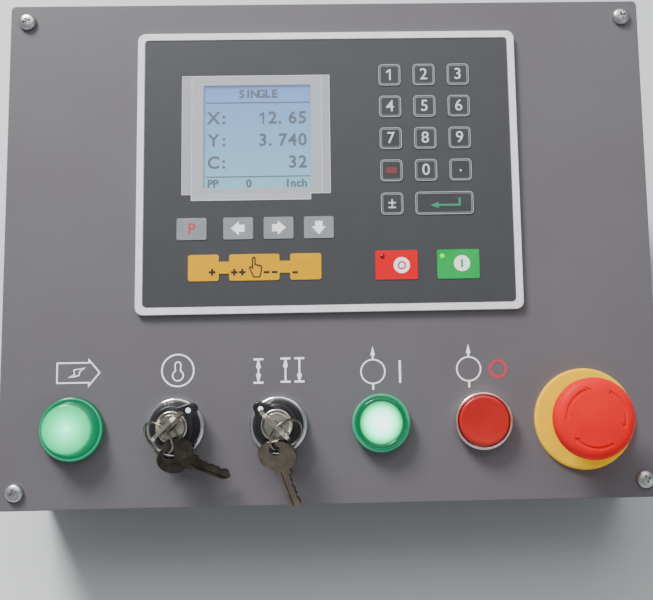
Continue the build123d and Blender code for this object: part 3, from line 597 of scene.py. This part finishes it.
node_finishes = {
    "housing_shell": SHELL_COAT, "cable_entry_plug": RUBBER, "earth_stud": ZINC, "panel_gasket": FOAM,
    "panel_nuts": ZINC, "membrane_overlay": CHARCOAL_FILM, "number_keys": KEY_FIELD,
    "grey_keys": GREY_FIELD, "jog_keys": YELLOW_FIELD, "stop_key": RED_FIELD, "start_key": GREEN_FIELD,
    "lcd_glass": LCD_GLASS, "controller_case": CASE_ABS, "circuit_board": BOARD,
    "terminal_blocks": TERMINAL, "panel_clamps": ZINC, "clamp_screws": ZINC, "device_nuts": ZINC,
    "lamp_body": BLACK_NYLON, "lamp_module": DIFFUSER, "start_button_body": BLACK_NYLON,
    "start_button_contacts": CONTACT_GREY, "start_button_light": DIFFUSER,
    "stop_button_body": BLACK_NYLON, "stop_button_contacts": CONTACT_GREY, "estop_stem": BLACK_NYLON,
    "estop_body": BLACK_NYLON, "estop_contacts": CONTACT_GREY, "left_switch_body": BLACK_NYLON,
    "left_switch_contacts": CONTACT_GREY, "right_switch_body": BLACK_NYLON,
    "right_switch_contacts": CONTACT_GREY,
}
for node, finish in node_finishes.items():
    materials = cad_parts[node].data.materials
    materials.clear()
    materials.append(finish)

# Protective film over the display, with a window, a narrower foot and a second layer

window = rounded(56.4, 55.6, 0.4, LCD_X, CONTROLLER_Y + LCD_RISE, 2)
first_layer = [(-76.5, 27.6), (-71.6, 27.6), (-71.6, 24.4), (-9.4, 24.4), (-9.4, 27.6), (0.9, 27.6),
               (0.9, 91.4), (-76.5, 91.4)]
second_layer = [(-71.4, 24.6), (-9.6, 24.6), (-9.6, 27.8), (-3.2, 27.8), (-3.2, 91.2), (-71.4, 91.2)]
for name, outlines, thickness, lift, finish, nodes in (
    ("milky_film_border", [first_layer, window], 0.12, 0, MILKY_FILM, ["display_film"]),
    ("clear_film_pane", [window], 0.1, 0, CLEAR_FILM, ()),
    ("second_film_layer", [second_layer, window], 0.03, 0.13, SECOND_FILM, ()),
    # The real cut edges carry thin white strips: a painted highlight where the edges catch the light.
    ("film_edge_highlight", line(first_layer, 0.3, True), 0.02, 0.17, FILM_EDGE_HIGHLIGHT, ()),
    ("second_edge_highlight", line(second_layer, 0.3, True), 0.02, 0.17, FILM_EDGE_HIGHLIGHT, ()),
):
    settle(flat_shape(name, outlines, thickness), on_face(0, 0, FILM_LEVEL + lift), finish, "housing",
           nodes)

# Figures of the display, one to each cell of a row that starts at x


def cells(name, text, size, pitch, x, y):
    """A row of liquid crystal figures, its decimal point moved towards the figure before it."""
    marks = []
    for cell, mark in enumerate(text):
        if mark != " ":
            back = 1.4 if mark == "." else 0
            marks.append(shifted(lettering(name, mark, size, 0.2), cell * pitch - back))
    return settle(joined(name, marks), on_face(x, y, LCD_MARK_LEVEL), LCD_INK, "housing")


for name, text, size, pitch, x, y in (
    ("display_title", "SINGLE", 6.0, 3.45, -45.4, 81.6),
    ("display_x_label", "X:", 9.2, 5.4, -60.2, 68.4),
    ("display_y_label", "Y:", 9.2, 5.4, -60.2, 56.4),
    ("display_c_label", "C:", 9.2, 5.4, -60.2, 44.4),
    ("display_x_value", "12.65", 9.2, 5.2, -34.3, 68.4),
    ("display_y_value", "3.740", 9.2, 5.2, -34.3, 56.4),
    ("display_c_value", "32", 9.2, 5.2, -18.7, 44.4),
    ("display_foot", "PP     0      Inch", 5.8, 2.9, -62.0, 33.2),
):
    cells(name, text, size, pitch, x, y)
for name, y in (("display_rule_top", 77.0), ("display_rule_foot", 37.0)):
    printed(name, [rounded(54.6, 0.55, 0.1, steps=2)], -36.9, y, LCD_MARK_LEVEL, LCD_INK)

# Figures and frames of the number keys; the key under the seven carries a plain red mark


def key_frame(width, height, x, y):
    """Outlines of the double line printed round a key."""
    return [
        rounded(width - 2 * inset, height - 2 * inset, 2.0 - 0.8 * inset, x, y)
        for inset in (0, 0.38, 0.88, 1.08)
    ]


FIRST_KEY_X, FIRST_KEY_Y, KEY_PITCH_X, KEY_PITCH_Y = 33.0, 91.1, 18.2, 17.35
KEY_SIDE, LAST_ROW_Y, ENTER_X = 11.6, 21.3, 60.4
key_frames = []
for index, digit in enumerate(("1", "2", "3", "4", "5", "6", "7", "8", "9", None, "0", ".")):
    x = FIRST_KEY_X + KEY_PITCH_X * (index % 3)
    y = FIRST_KEY_Y - KEY_PITCH_Y * (index // 3)
    key_frames += key_frame(KEY_SIDE, KEY_SIDE, x, y)
    if digit:
        rise = 1.7 if digit == "." else 0
        key_figure(f"key_figure_{index + 1}", digit, 8.7, x, y + rise, KEY_INK, 0.05)
key_frames += key_frame(KEY_SIDE, KEY_SIDE, FIRST_KEY_X, LAST_ROW_Y)
key_frames += key_frame(30.4, 12.1, ENTER_X, LAST_ROW_Y)
printed("key_frames", key_frames, 0, 0, MARK_LEVEL, FRAME_INK)
key_figure("key_figure_sign", "±", 8.0, FIRST_KEY_X, LAST_ROW_Y, KEY_INK, 0.05)
printed("clear_key_mark", [rounded(5.6, 3.4, 0.9)], FIRST_KEY_X, 39.1, MARK_LEVEL, DARK_RED_INK)
enter_sign = line([(8.0, 2.7), (8.0, -1.1), (-2.9, -1.1)], 1.1) + [[(-3.0, 0.6), (-7.5, -1.1), (-3.0, -2.8)]]
printed("enter_sign", enter_sign, ENTER_X, LAST_ROW_Y, MARK_LEVEL, GREEN_INK)

# Page and arrow keys

key_figure("page_key_figure", "P", 8.0, -71.3, 9.4, RED_INK, 0.1)
key_arrow = [(-3.8, 0), (0.4, 3.7), (0.4, 1.9), (3.3, 1.9), (3.3, -1.9), (0.4, -1.9), (0.4, -3.7)]
for name, x, turn in (("left", -47.2, 0), ("right", -26.3, 180), ("down", -5.4, 90)):
    printed(f"{name}_arrow", [key_arrow], x, 9.4, MARK_LEVEL, WHITE_INK, turn)

# Jog keys: plus marks on the left, minus marks on the right and a pointing hand between them

reach, half = 1.7, 0.55
jog_marks = []
for x, y in ((-60.6, -13.4), (-49.2, -13.6), (-45.1, -13.6)):
    for side in (1, -1):
        jog_marks.append([
            (x + side * half, y + side * half), (x + side * reach, y + side * half),
            (x + side * reach, y - side * half), (x + side * half, y - side * half),
        ])
    jog_marks.append(rounded(half * 2, reach * 2, 0.1, x, y, 2))
for x, y in ((-32.6, -13.8), (-28.5, -13.8), (-17.9, -14.1)):
    jog_marks.append(rounded(reach * 1.7, half * 2, 0.1, x, y, 2))
for number, outline in enumerate(jog_marks):
    printed(f"jog_mark_{number + 1}", [outline], 0, 0, MARK_LEVEL, BLACK_INK)
hand = [(-1.0, -5.2), (2.0, -5.2), (2.9, -2.2), (3.0, 0.2), (2.4, 0.7), (1.9, 0.4), (1.3, 1.1),
        (0.7, 0.8), (0.1, 1.5), (-0.4, 1.2), (-0.3, 4.6), (-0.9, 5.2), (-1.6, 4.6), (-1.7, -0.5),
        (-2.6, 0.2), (-3.2, -0.4)]
printed("pointing_hand", line(hand, 0.65, True), -38.2, -11.0, MARK_LEVEL, BLACK_INK)

# Stop and start keys: a white disc with its sign, and a small domed indicator

for name, x, y, field in (("stop", 37.3, -11.3, "red_key"), ("start", 68.6, -10.8, "green_key")):
    printed(f"{name}_key_disc", [circle(4.2)], x, y, MARK_LEVEL, WHITE_INK)
printed("stop_key_sign", [circle(2.2), circle(1.4)], 37.3, -11.3, SIGN_LEVEL, RED_INK)
printed("start_key_sign", [rounded(1.0, 4.2, 0.2, steps=2)], 68.6, -10.8, SIGN_LEVEL, GREEN_INK)
dome = [(0, 0), (1.3, 0), (1.25, 0.35), (1.0, 0.65), (0.55, 0.85), (0, 0.9)]
for name, x, y, finish, field in (
    ("stop_indicator", 27.2, -6.4, LAMP_DARK, "red_key"),
    ("start_indicator", 58.5, -6.9, LAMP_BRIGHT, "green_key"),
):
    settle(smooth(turned(name, dome, 32)), on_face(x, y, KEY_LEVEL - 0.3), finish, "housing")

# Signs on the faceplate, screen printed over each device in white, and one in red

power_box = [(-139.3, -58.6), (-123.2, -58.6), (-123.2, -57.3), (-117.8, -63.7), (-123.2, -70.3),
             (-123.2, -68.7), (-139.3, -68.7)]
lightning = [(-133.2, -65.9), (-130.4, -64.5), (-130.9, -62.2), (-125.6, -61.3), (-127.8, -63.0),
             (-128.3, -65.0), (-130.9, -65.6)]
keyhole = arc(1.5, 0, 180, -78.15, -60.6, 8) + arc(2.7, 118, 422, -78.15, -66.0, 20)


def stroke_sign(x, low, high, arrows):
    """Outline of a press stroke sign: an upright between two bars, with arrowheads on it."""
    bar_half, bar_height, stem_half, head_half, head_notch = 2.55, 1.0, 0.45, 1.25, 0.9
    left = [(x - bar_half, high), (x - bar_half, high - bar_height), (x - stem_half, high - bar_height)]
    for tip, base in arrows:
        wing = (x - head_half, base)
        if tip > base:
            left += [(x - stem_half, tip), wing, (x - stem_half, base - head_notch)]
        else:
            left += [(x - stem_half, base + head_notch), wing, (x - stem_half, tip)]
    left += [(x - stem_half, low + bar_height), (x - bar_half, low + bar_height), (x - bar_half, low)]
    return left + [(2 * x - point_x, point_y) for point_x, point_y in reversed(left)]


def pump_sign(x, y, tip, foot):
    """Outlines of a pump sign: a ring with an arrow out of its top and a stub below."""
    outer = (
        arc(6.5, 94, 266, x, y, 24)[:-1]
        + [(x - 0.5, y - 6.48), (x - 0.5, foot), (x + 0.5, foot), (x + 0.5, y - 6.48)]
        + arc(6.5, 274, 446, x, y, 24)[1:]
        + [(x + 0.5, tip - 4.9), (x + 1.15, tip - 4.6), (x, tip), (x - 1.15, tip - 4.6),
           (x - 0.5, tip - 4.9)]
    )
    return [outer, circle(5.75, x, y)]


for name, outlines, ink in (
    ("power_sign", line(power_box, 0.75, True), WHITE_INK),
    ("lightning_sign", line(lightning, 0.6, True), WHITE_INK),
    ("lock_ring_sign", [circle(8.5, -78.2, -63.4), circle(7.7, -78.2, -63.4)], WHITE_INK),
    ("keyhole_sign", line(keyhole, 0.7, True), WHITE_INK),
    ("double_stroke_sign", [stroke_sign(-37.2, -70.9, -58.0, [(-59.3, -62.6), (-69.6, -66.3)])], WHITE_INK),
    ("up_stroke_sign", [stroke_sign(-23.4, -70.7, -57.8, [(-58.9, -62.3)])], WHITE_INK),
    ("down_stroke_sign", [stroke_sign(-16.3, -70.7, -57.8, [(-69.7, -66.6)])], WHITE_INK),
    ("pump_start_sign", pump_sign(21.35, -65.85, -52.8, -75.2), WHITE_INK),
    ("on_sign", [rounded(1.1, 11.6, 0.1, 35.2, -66.1, 2)], WHITE_INK),
    ("pump_stop_sign", pump_sign(70.6, -65.4, -52.6, -74.9), WHITE_INK),
    ("off_sign", [circle(4.9, 85.7, -65.7), circle(3.4, 85.7, -65.7)], RED_INK),
):
    printed(name, outlines, 0, 0, PRINT_LIFT, ink)

# Faceplate: the cut sheet with its edges broken and coated, a notched hole for each device

FACE_THICKNESS = 2.0
notched_hole = arc(11.25, 98, 442, steps=40) + [(1.6, 12.6), (-1.6, 12.6)]
openings = [rounded(186, 136, 0.2, 0, CONTROLLER_Y, 2)]
openings += [[(device_x + x, ROW_Y + y) for x, y in notched_hole] for device_x in DEVICE_PLACES]
openings += [circle(2.75, x, y, 24) for x, y in SCREW_PLACES]
sheet = soften(flat_shape("coated_faceplate", [rounded(336, 264, 2.5)], FACE_THICKNESS), 0.35)
cutter = joined("opening_cutters", [flat_shape("opening_cutter", [outline], 6.0) for outline in openings])
combine(sheet, shifted(cutter, z=-2), "DIFFERENCE")
settle(smooth(sheet), on_face(0, 0, -FACE_THICKNESS), GREY_COAT, "housing", ["faceplate"])

# Faceplate screws: pan heads with a cross recess

screw_outline = [(0, -12), (2.5, -12), (2.5, 0), (4.6, 0), (4.6, 0.9), (4.45, 1.6), (4.05, 2.2),
                 (3.3, 2.67), (2.1, 2.93), (0, 3.0)]


def recess_slot(turn):
    """Cutter for one slot of a cross recess: a bar that narrows downwards, turned by degrees."""
    bpy.ops.object.select_all(action="DESELECT")
    bpy.ops.mesh.primitive_cube_add(size=1)
    slot = bpy.context.object
    bpy.ops.object.mode_set(mode="EDIT")
    bpy.ops.transform.resize(value=(6.0, 1.3, 4.0))
    bpy.ops.transform.translate(value=(0, 0, 3.3))
    bpy.ops.mesh.select_mode(type="FACE")
    bpy.ops.mesh.select_all(action="DESELECT")
    bpy.ops.object.mode_set(mode="OBJECT")
    for face in slot.data.polygons:
        face.select = face.normal.z < -0.5
    bpy.ops.object.mode_set(mode="EDIT")
    bpy.ops.transform.resize(value=(0.5, 0.8, 1))
    bpy.ops.object.mode_set(mode="OBJECT")
    slot.data.transform(Matrix.Rotation(math.radians(turn), 4, "Z"))
    return slot


screws = []
for x, y in SCREW_PLACES:
    screw = turned("panel_screw", screw_outline, 40)
    for turn in (20, 110):
        combine(screw, recess_slot(turn), "DIFFERENCE")
    screws.append(shifted(smooth(screw, 40), x, y))
settle(joined("cross_recess_screws", screws), on_face(0, 0), ZINC, "housing", ["panel_screws"])

# Controller's front frame: a moulded rim round a floor with the display opening

rim = flat_shape("moulded_front_frame", [rounded(200, 150, 4), rounded(192.8, 142.8, 2)], 2.6)
soften(rim, 0.7, 4)
lcd_opening = rounded(57.2, 56.4, 0.2, LCD_X, LCD_RISE, 2)
combine(rim, flat_shape("frame_floor", [rounded(193.4, 143.4, 2.2), lcd_opening], 1.6), "UNION")
settle(smooth(rim), on_face(0, CONTROLLER_Y), WHITE_ABS, "housing", ["controller_bezel"])

# Signal lamp: stepped acrylic lens, lit from inside

lens = [(0, 11.0), (11.5, 11.0), (11.8, 1.4), (15.4, 1.4), (15.4, 0), (16.2, 0), (16.2, 3.1), (16.0, 3.8),
        (15.4, 4.3), (14.6, 4.4), (13.5, 4.4), (13.15, 4.6), (13.05, 5.1), (12.65, 10.9), (12.45, 11.7),
        (11.9, 12.25), (11.1, 12.45), (8, 12.55), (0, 12.6)]
settle(smooth(turned("stepped_lamp_lens", lens, 128), 50), on_face(LAMP_X, ROW_Y), LAMP_GREEN, "housing",
       ["lamp_lens"])

# Push buttons: chromed rings and acrylic caps

button_ring = [(10.95, 0), (14.7, 0), (14.7, 5.2), (14.55, 5.85), (14.15, 6.3), (13.7, 6.4), (13.25, 6.25),
               (13.02, 5.8), (13.0, 1.2), (10.95, 1.2), (10.95, 0)]
# Each ring's finish carries a painted reflection of its cap.
for name, x, finish in (("start", START_X, CHROME_PAINTED_GREEN_REFLECTION), ("stop", STOP_X, CHROME_PAINTED_RED_REFLECTION)):
    settle(smooth(turned(f"{name}_chrome_ring", button_ring, 128), 50), on_face(x, ROW_Y), finish,
           "housing", [f"{name}_button_ring"])
lit_cap = [(0, 5), (6, 5), (6, -12.5), (8, -12.5), (8, 5), (12.7, 5), (12.7, 7.5), (12.5, 8.0),
           (12.1, 8.3), (11.6, 8.4), (11.2, 8.25), (11.0, 7.95), (10.7, 7.95), (10.45, 8.2), (9.8, 8.35),
           (0, 8.4)]
red_cap = [(0, -12.5), (8, -12.5), (8, 5), (12.7, 5), (12.7, 7.4), (12.5, 7.95), (12.05, 8.3), (11.4, 8.4),
           (10.4, 8.3), (8, 8.0), (4, 7.8), (0, 7.75)]
for name, outline, x, finish, body, slot in (
    ("lit_green_cap", lit_cap, START_X, BUTTON_GREEN, "start_button", "green_cap"),
    ("dished_red_cap", red_cap, STOP_X, BUTTON_RED, "stop_button", "red_cap"),
):
    settle(smooth(turned(name, outline, 128), 50), on_face(x, ROW_Y), finish, body, [body])

# Emergency stop: background plate, and a mushroom head with its turning arrows sunk in the crown

plate_ring = [(11, 0), (25.6, 0), (25.6, 1.3), (25.35, 1.95), (24.8, 2.3), (24.0, 2.4), (11, 2.4), (11, 0)]
settle(smooth(turned("yellow_background_plate", plate_ring, 128), 50), on_face(EMERGENCY_X, ROW_Y),
       YELLOW_ABS, "housing", ["estop_disc"])
mushroom = [(0, 22.3), (6.3, 22.3), (6.3, 12), (12, 12), (12, 15.6), (12.6, 16.6), (14.5, 17.4),
            (18.4, 18.5), (19.4, 19.0), (19.95, 19.8), (20.1, 20.9), (20.1, 24.6), (19.85, 26.4),
            (19.1, 27.9), (17.9, 28.95), (16.4, 29.5), (14.0, 29.85), (10, 30.2), (5, 30.43), (0, 30.5)]


def turning_arrow(tip):
    """Outline of an arrow that curves round the crown, anticlockwise from its tip's angle in degrees."""
    wings, neck, end = tip + 11, tip + 10, tip + 84
    shaft = arc(15.3, neck, end, steps=20) + arc(13.5, end, neck, steps=20)
    return [polar(16.5, wings)] + shaft + [polar(12.3, wings), polar(14.4, tip)]


crown = turned("mushroom_head", mushroom, 160)
for tip in (98, -22, -142):
    combine(crown, shifted(flat_shape("arrow_cutter", [turning_arrow(tip)], 3.0), z=29.3), "DIFFERENCE")
settle(smooth(crown, 40), on_face(EMERGENCY_X, ROW_Y), RED_ABS, "estop_head", ["estop_head"])

# Key switches: chromed ring, turning collar with its white index, and lock barrel

switch_ring = [(10.95, 0), (14.75, 0), (14.75, 1.7), (14.6, 2.3), (14.15, 2.8), (13.5, 3.0), (10.95, 3.0),
               (10.95, 0)]
collar_cone = [(0, 3.4), (12.6, 3.4), (12.85, 3.6), (12.9, 4.6), (11.0, 10.9), (10.75, 11.5), (10.4, 12.0),
               (9.8, 12.3), (0, 12.35)]
collar_bore = [(0, 0), (8.05, 0), (8.05, 20), (0, 20)]
lock_barrel = [(0, -17), (8, -17), (8, 13.9), (7.85, 14.3), (7.5, 14.5), (7.1, 14.5), (6.8, 14.25),
               (6.65, 13.8), (6.35, 13.7), (6.1, 13.95), (5.8, 14.1), (0, 14.1)]
index_dot = [(0, 0), (1.35, 0), (1.25, 0.2), (0.9, 0.32), (0, 0.36)]
NOSE_ROOT, NOSE_TIP, NOSE_REACH = 8.6, 2.8, 12.9


def nose_outline():
    """Outline of a collar's nose, from its root round the barrel to its tip."""
    lean = math.degrees(math.asin((NOSE_ROOT - NOSE_TIP) / NOSE_REACH))
    root = arc(NOSE_ROOT, 180 - lean, 360 + lean, steps=60)
    return root + arc(NOSE_TIP, lean, 180 - lean, 0, NOSE_REACH, 14)


def dress_switch(side, x, turn):
    """The finished pieces of one key switch, its collar turned to its place by degrees."""
    settle(smooth(turned(f"{side}_chrome_ring", switch_ring, 128), 50), on_face(x, ROW_Y), CHROME,
           "housing", [f"{side}_switch_ring"])
    collar = shifted(flat_shape(f"{side}_nosed_collar", [nose_outline()], 8.9), z=3.45)
    soften(collar, 0.8, 3, 40)
    combine(collar, turned(f"{side}_cone", collar_cone, 128), "UNION")
    combine(collar, turned("collar_bore", collar_bore), "DIFFERENCE")
    settle(smooth(collar, 30), on_face(x, ROW_Y, 0, turn), BLACK_NYLON, f"{side}_rotor",
           [f"{side}_switch_collar"])
    settle(smooth(turned(f"{side}_white_index", index_dot, 32)),
           on_face(x, ROW_Y, 12.35, turn) @ Matrix.Translation((0, 11.4, 0)), WHITE_INK, f"{side}_rotor")
    barrel = turned(f"{side}_lock_barrel", lock_barrel)
    keyway = shifted(flat_shape("keyway_cutter", [rounded(2.4, 6.0, 0.3, steps=2)], 24), z=-5.5)
    combine(barrel, keyway, "DIFFERENCE")
    settle(smooth(barrel, 40), on_face(x, ROW_Y, 0, turn), NICKEL, f"{side}_rotor",
           [f"{side}_switch_barrel"])


# Keys: one in each lock, a wire ring through its hole and a spare key that hangs on the ring

KEY_TIP, NECK_END, NECK_HALF, BLADE_HALF, BOW_RADIUS = 32.9, 13.9, 4, 2.7, 7.2
KEY_THICKNESS, CUTTER_THICKNESS = 1.8, 1.0
KEY_HOLE_LEVEL, RING_SEAT = 28.7, 2.05
RING_LEAN, RING_RADIUS = math.radians(40), 8.8


def key_outline():
    """Outline of a flat key about the middle of its hole: neck, tip, cut blade and bow."""
    points = [(10.8, -NECK_HALF), (NECK_END, -NECK_HALF), (NECK_END, -BLADE_HALF), (30.2, -BLADE_HALF),
              (KEY_TIP, -0.54), (KEY_TIP, 0.54), (30.7, BLADE_HALF)]
    pitch = (KEY_TIP - NECK_END - BLADE_HALF) / 5
    for tooth in (3, 2, 1, 0):
        x = NECK_END + pitch * (tooth + 1)
        depth = 0.8 if tooth % 2 else 0.45
        points += [(x + 0.45 * pitch, BLADE_HALF), (x + 0.6, BLADE_HALF - depth),
                   (x - 0.6, BLADE_HALF - depth), (x - 0.45 * pitch, BLADE_HALF)]
    points += [(NECK_END, BLADE_HALF), (NECK_END, NECK_HALF), (10.8, NECK_HALF)]
    for start, end, x, y in ((10, 90, 3.7, 2.8), (90, 180, 2.6, 2.8), (180, 270, 2.6, -2.8),
                             (270, 350, 3.7, -2.8)):
        points += arc(BOW_RADIUS, start, end, x, y)
    return points


def flat_key(name):
    """A key with its hole, the milled groove of its blade and a shallow panel pressed in its bow."""
    piece = flat_shape(name, [key_outline(), circle(3.0, steps=36)], KEY_THICKNESS)
    for side in (1, -1):
        groove = rounded(21, 1.2, 0.3, 22.5, -0.8 * side, 2)
        panel = rounded(3.8, 11.0, 1.8, 7.3, 0, 5)
        for outline, level in ((groove, 0.95), (panel, 1.27)):
            cutter = flat_shape("key_cutter", [outline], CUTTER_THICKNESS)
            shifted(cutter, z=KEY_THICKNESS / 2 + side * level - CUTTER_THICKNESS / 2)
            combine(piece, cutter, "DIFFERENCE")
    return soften(shifted(piece, z=-KEY_THICKNESS / 2), 0.3, 3, 40)


def wire_ring(name):
    """A ring of round wire, its two ends butted together."""
    wire = drawn_curve(
        name, [arc(RING_RADIUS, 46, 403, steps=120)], False, dimensions="3D", bevel_depth=0.65,
        bevel_resolution=4, use_fill_caps=True,
    )
    return smooth(wire, 60)


def hang_keys(side, x, turn, travel, spare_turn, spare_drop, spare_roll, spare_slack, spare_finish):
    """The key in one lock, with its ring and spare key.

    The spare key hangs where the ring has run on by its travel. Its blade points by a turn about the face's
    normal and a drop below the face's plane, and rolls about itself, all in degrees. Its slack is the play
    of the ring in its hole, in millimetres.
    """
    out = Vector((0, 0, 1))
    across = Vector((*polar(1, turn), 0))
    nose = Vector((-across.y, across.x, 0))
    hole = Vector((x, ROW_Y, KEY_HOLE_LEVEL))
    settle(flat_key(f"{side}_inserted_key"), axes_at(hole, -out, nose.cross(out)), BRIGHT_NICKEL,
           f"{side}_key", [f"{side}_key"])
    drop = -out * math.cos(RING_LEAN) - nose * math.sin(RING_LEAN)
    seat = hole + drop * RING_SEAT
    ring_axis = across * (1 if turn < 0 else -1)
    settle(wire_ring(f"{side}_wire_ring"),
           axes_at(seat + drop * RING_RADIUS, ring_axis, ring_axis.cross(drop)), RING_STEEL,
           f"{side}_ring", [f"{side}_key_ring"])
    run = math.radians(travel)
    spare_seat = seat + (drop * (1 - math.cos(run)) + ring_axis * math.sin(run)) * RING_RADIUS
    way = Vector((*polar(1, spare_turn), 0))
    fall = math.radians(spare_drop)
    blade = way * math.cos(fall) - out * math.sin(fall)
    flat = way * math.sin(fall) + out * math.cos(fall)
    flat = Matrix.Rotation(math.radians(spare_roll), 3, blade) @ flat
    settle(flat_key(f"{side}_hanging_key"), axes_at(spare_seat + blade * spare_slack, blade, flat),
           spare_finish, f"{side}_spare", [f"{side}_spare_key"])


# Hanging keys: their finishes carry painted shade.
dress_switch("left", LEFT_X, -45)
hang_keys("left", LEFT_X, -45, 113, -23.5, 20.5, 26, 0.7, NICKEL_KEY_PAINTED_SHADE)
dress_switch("right", RIGHT_X, 45)
hang_keys("right", RIGHT_X, 45, 101, -71, 23.5, 25, 0.1, NICKEL_KEY_PAINTED_HALF_SHADE)

# Camera at the photograph's viewing angle, its lens and shifts from pixels of the photograph

PHOTO_WIDTH, FOCAL_PIXELS, SENSOR_WIDTH = 653, 1060.915, 36.0
camera_data = bpy.data.cameras.new("photo_camera")
camera_data.sensor_width = SENSOR_WIDTH
camera_data.lens = SENSOR_WIDTH * FOCAL_PIXELS / PHOTO_WIDTH
camera_data.shift_x = -60 / PHOTO_WIDTH
camera_data.shift_y = -30 / PHOTO_WIDTH
camera_data.clip_end = 20
camera = bpy.data.objects.new("photo_camera", camera_data)
bpy.context.scene.collection.objects.link(camera)
camera_turn = (
    Matrix.Rotation(-0.020561, 4, "Z")
    @ Matrix.Rotation(-0.026638, 4, "Y")
    @ Matrix.Rotation(0.142754, 4, "X")
)
camera.matrix_world = (
    Matrix.Translation(FACE @ Vector((13.225, -91.557, 546.0))) @ Matrix.Rotation(TILT, 4, "X") @ camera_turn
)
bpy.context.scene.camera = camera

# Floor: matt pale paint with a barely seen drift of tone, so that it looks plain but not flat

FLOOR_PAINT, tree, shader, coordinates = start_finish("pale_floor_paint", Roughness=0.8)
tree.links.new(mottle(tree, coordinates, 900, "#C9CBCC", "#D2D4D5"), shader.inputs["Base Color"])
bpy.ops.object.select_all(action="DESELECT")
bpy.ops.mesh.primitive_plane_add(size=8.0, location=(0, 0, 0))
floor = bpy.context.object
floor.name = "floor"
floor.data.materials.append(FLOOR_PAINT)

# Light: a pale room and three soft boxes, with places and sizes in metres and power in watts

world = bpy.data.worlds.new("studio")
world.use_nodes = True
world.node_tree.nodes["Background"].inputs["Color"].default_value = colour("#E4E8EC")
world.node_tree.nodes["Background"].inputs["Strength"].default_value = 0.43
bpy.context.scene.world = world


def soft_light(name, place, size, power):
    """A square soft box that shines from its place towards the middle of the control box."""
    data = bpy.data.lights.new(name, "AREA")
    data.shape = "SQUARE"
    data.size = size
    data.energy = power
    lamp = bpy.data.objects.new(name, data)
    bpy.context.scene.collection.objects.link(lamp)
    way = Vector((0, 0, 0.1)) - Vector(place)
    lamp.matrix_world = Matrix.Translation(place) @ way.to_track_quat("-Z", "Y").to_matrix().to_4x4()


soft_light("window_light", (-0.78, 0.9, 1.5), 0.6, 58)
soft_light("ceiling_light", (0.2, 0.5, 2.3), 1.8, 21.6)
soft_light("fill_light", (1.4, -1.5, 1.2), 1.4, 4)
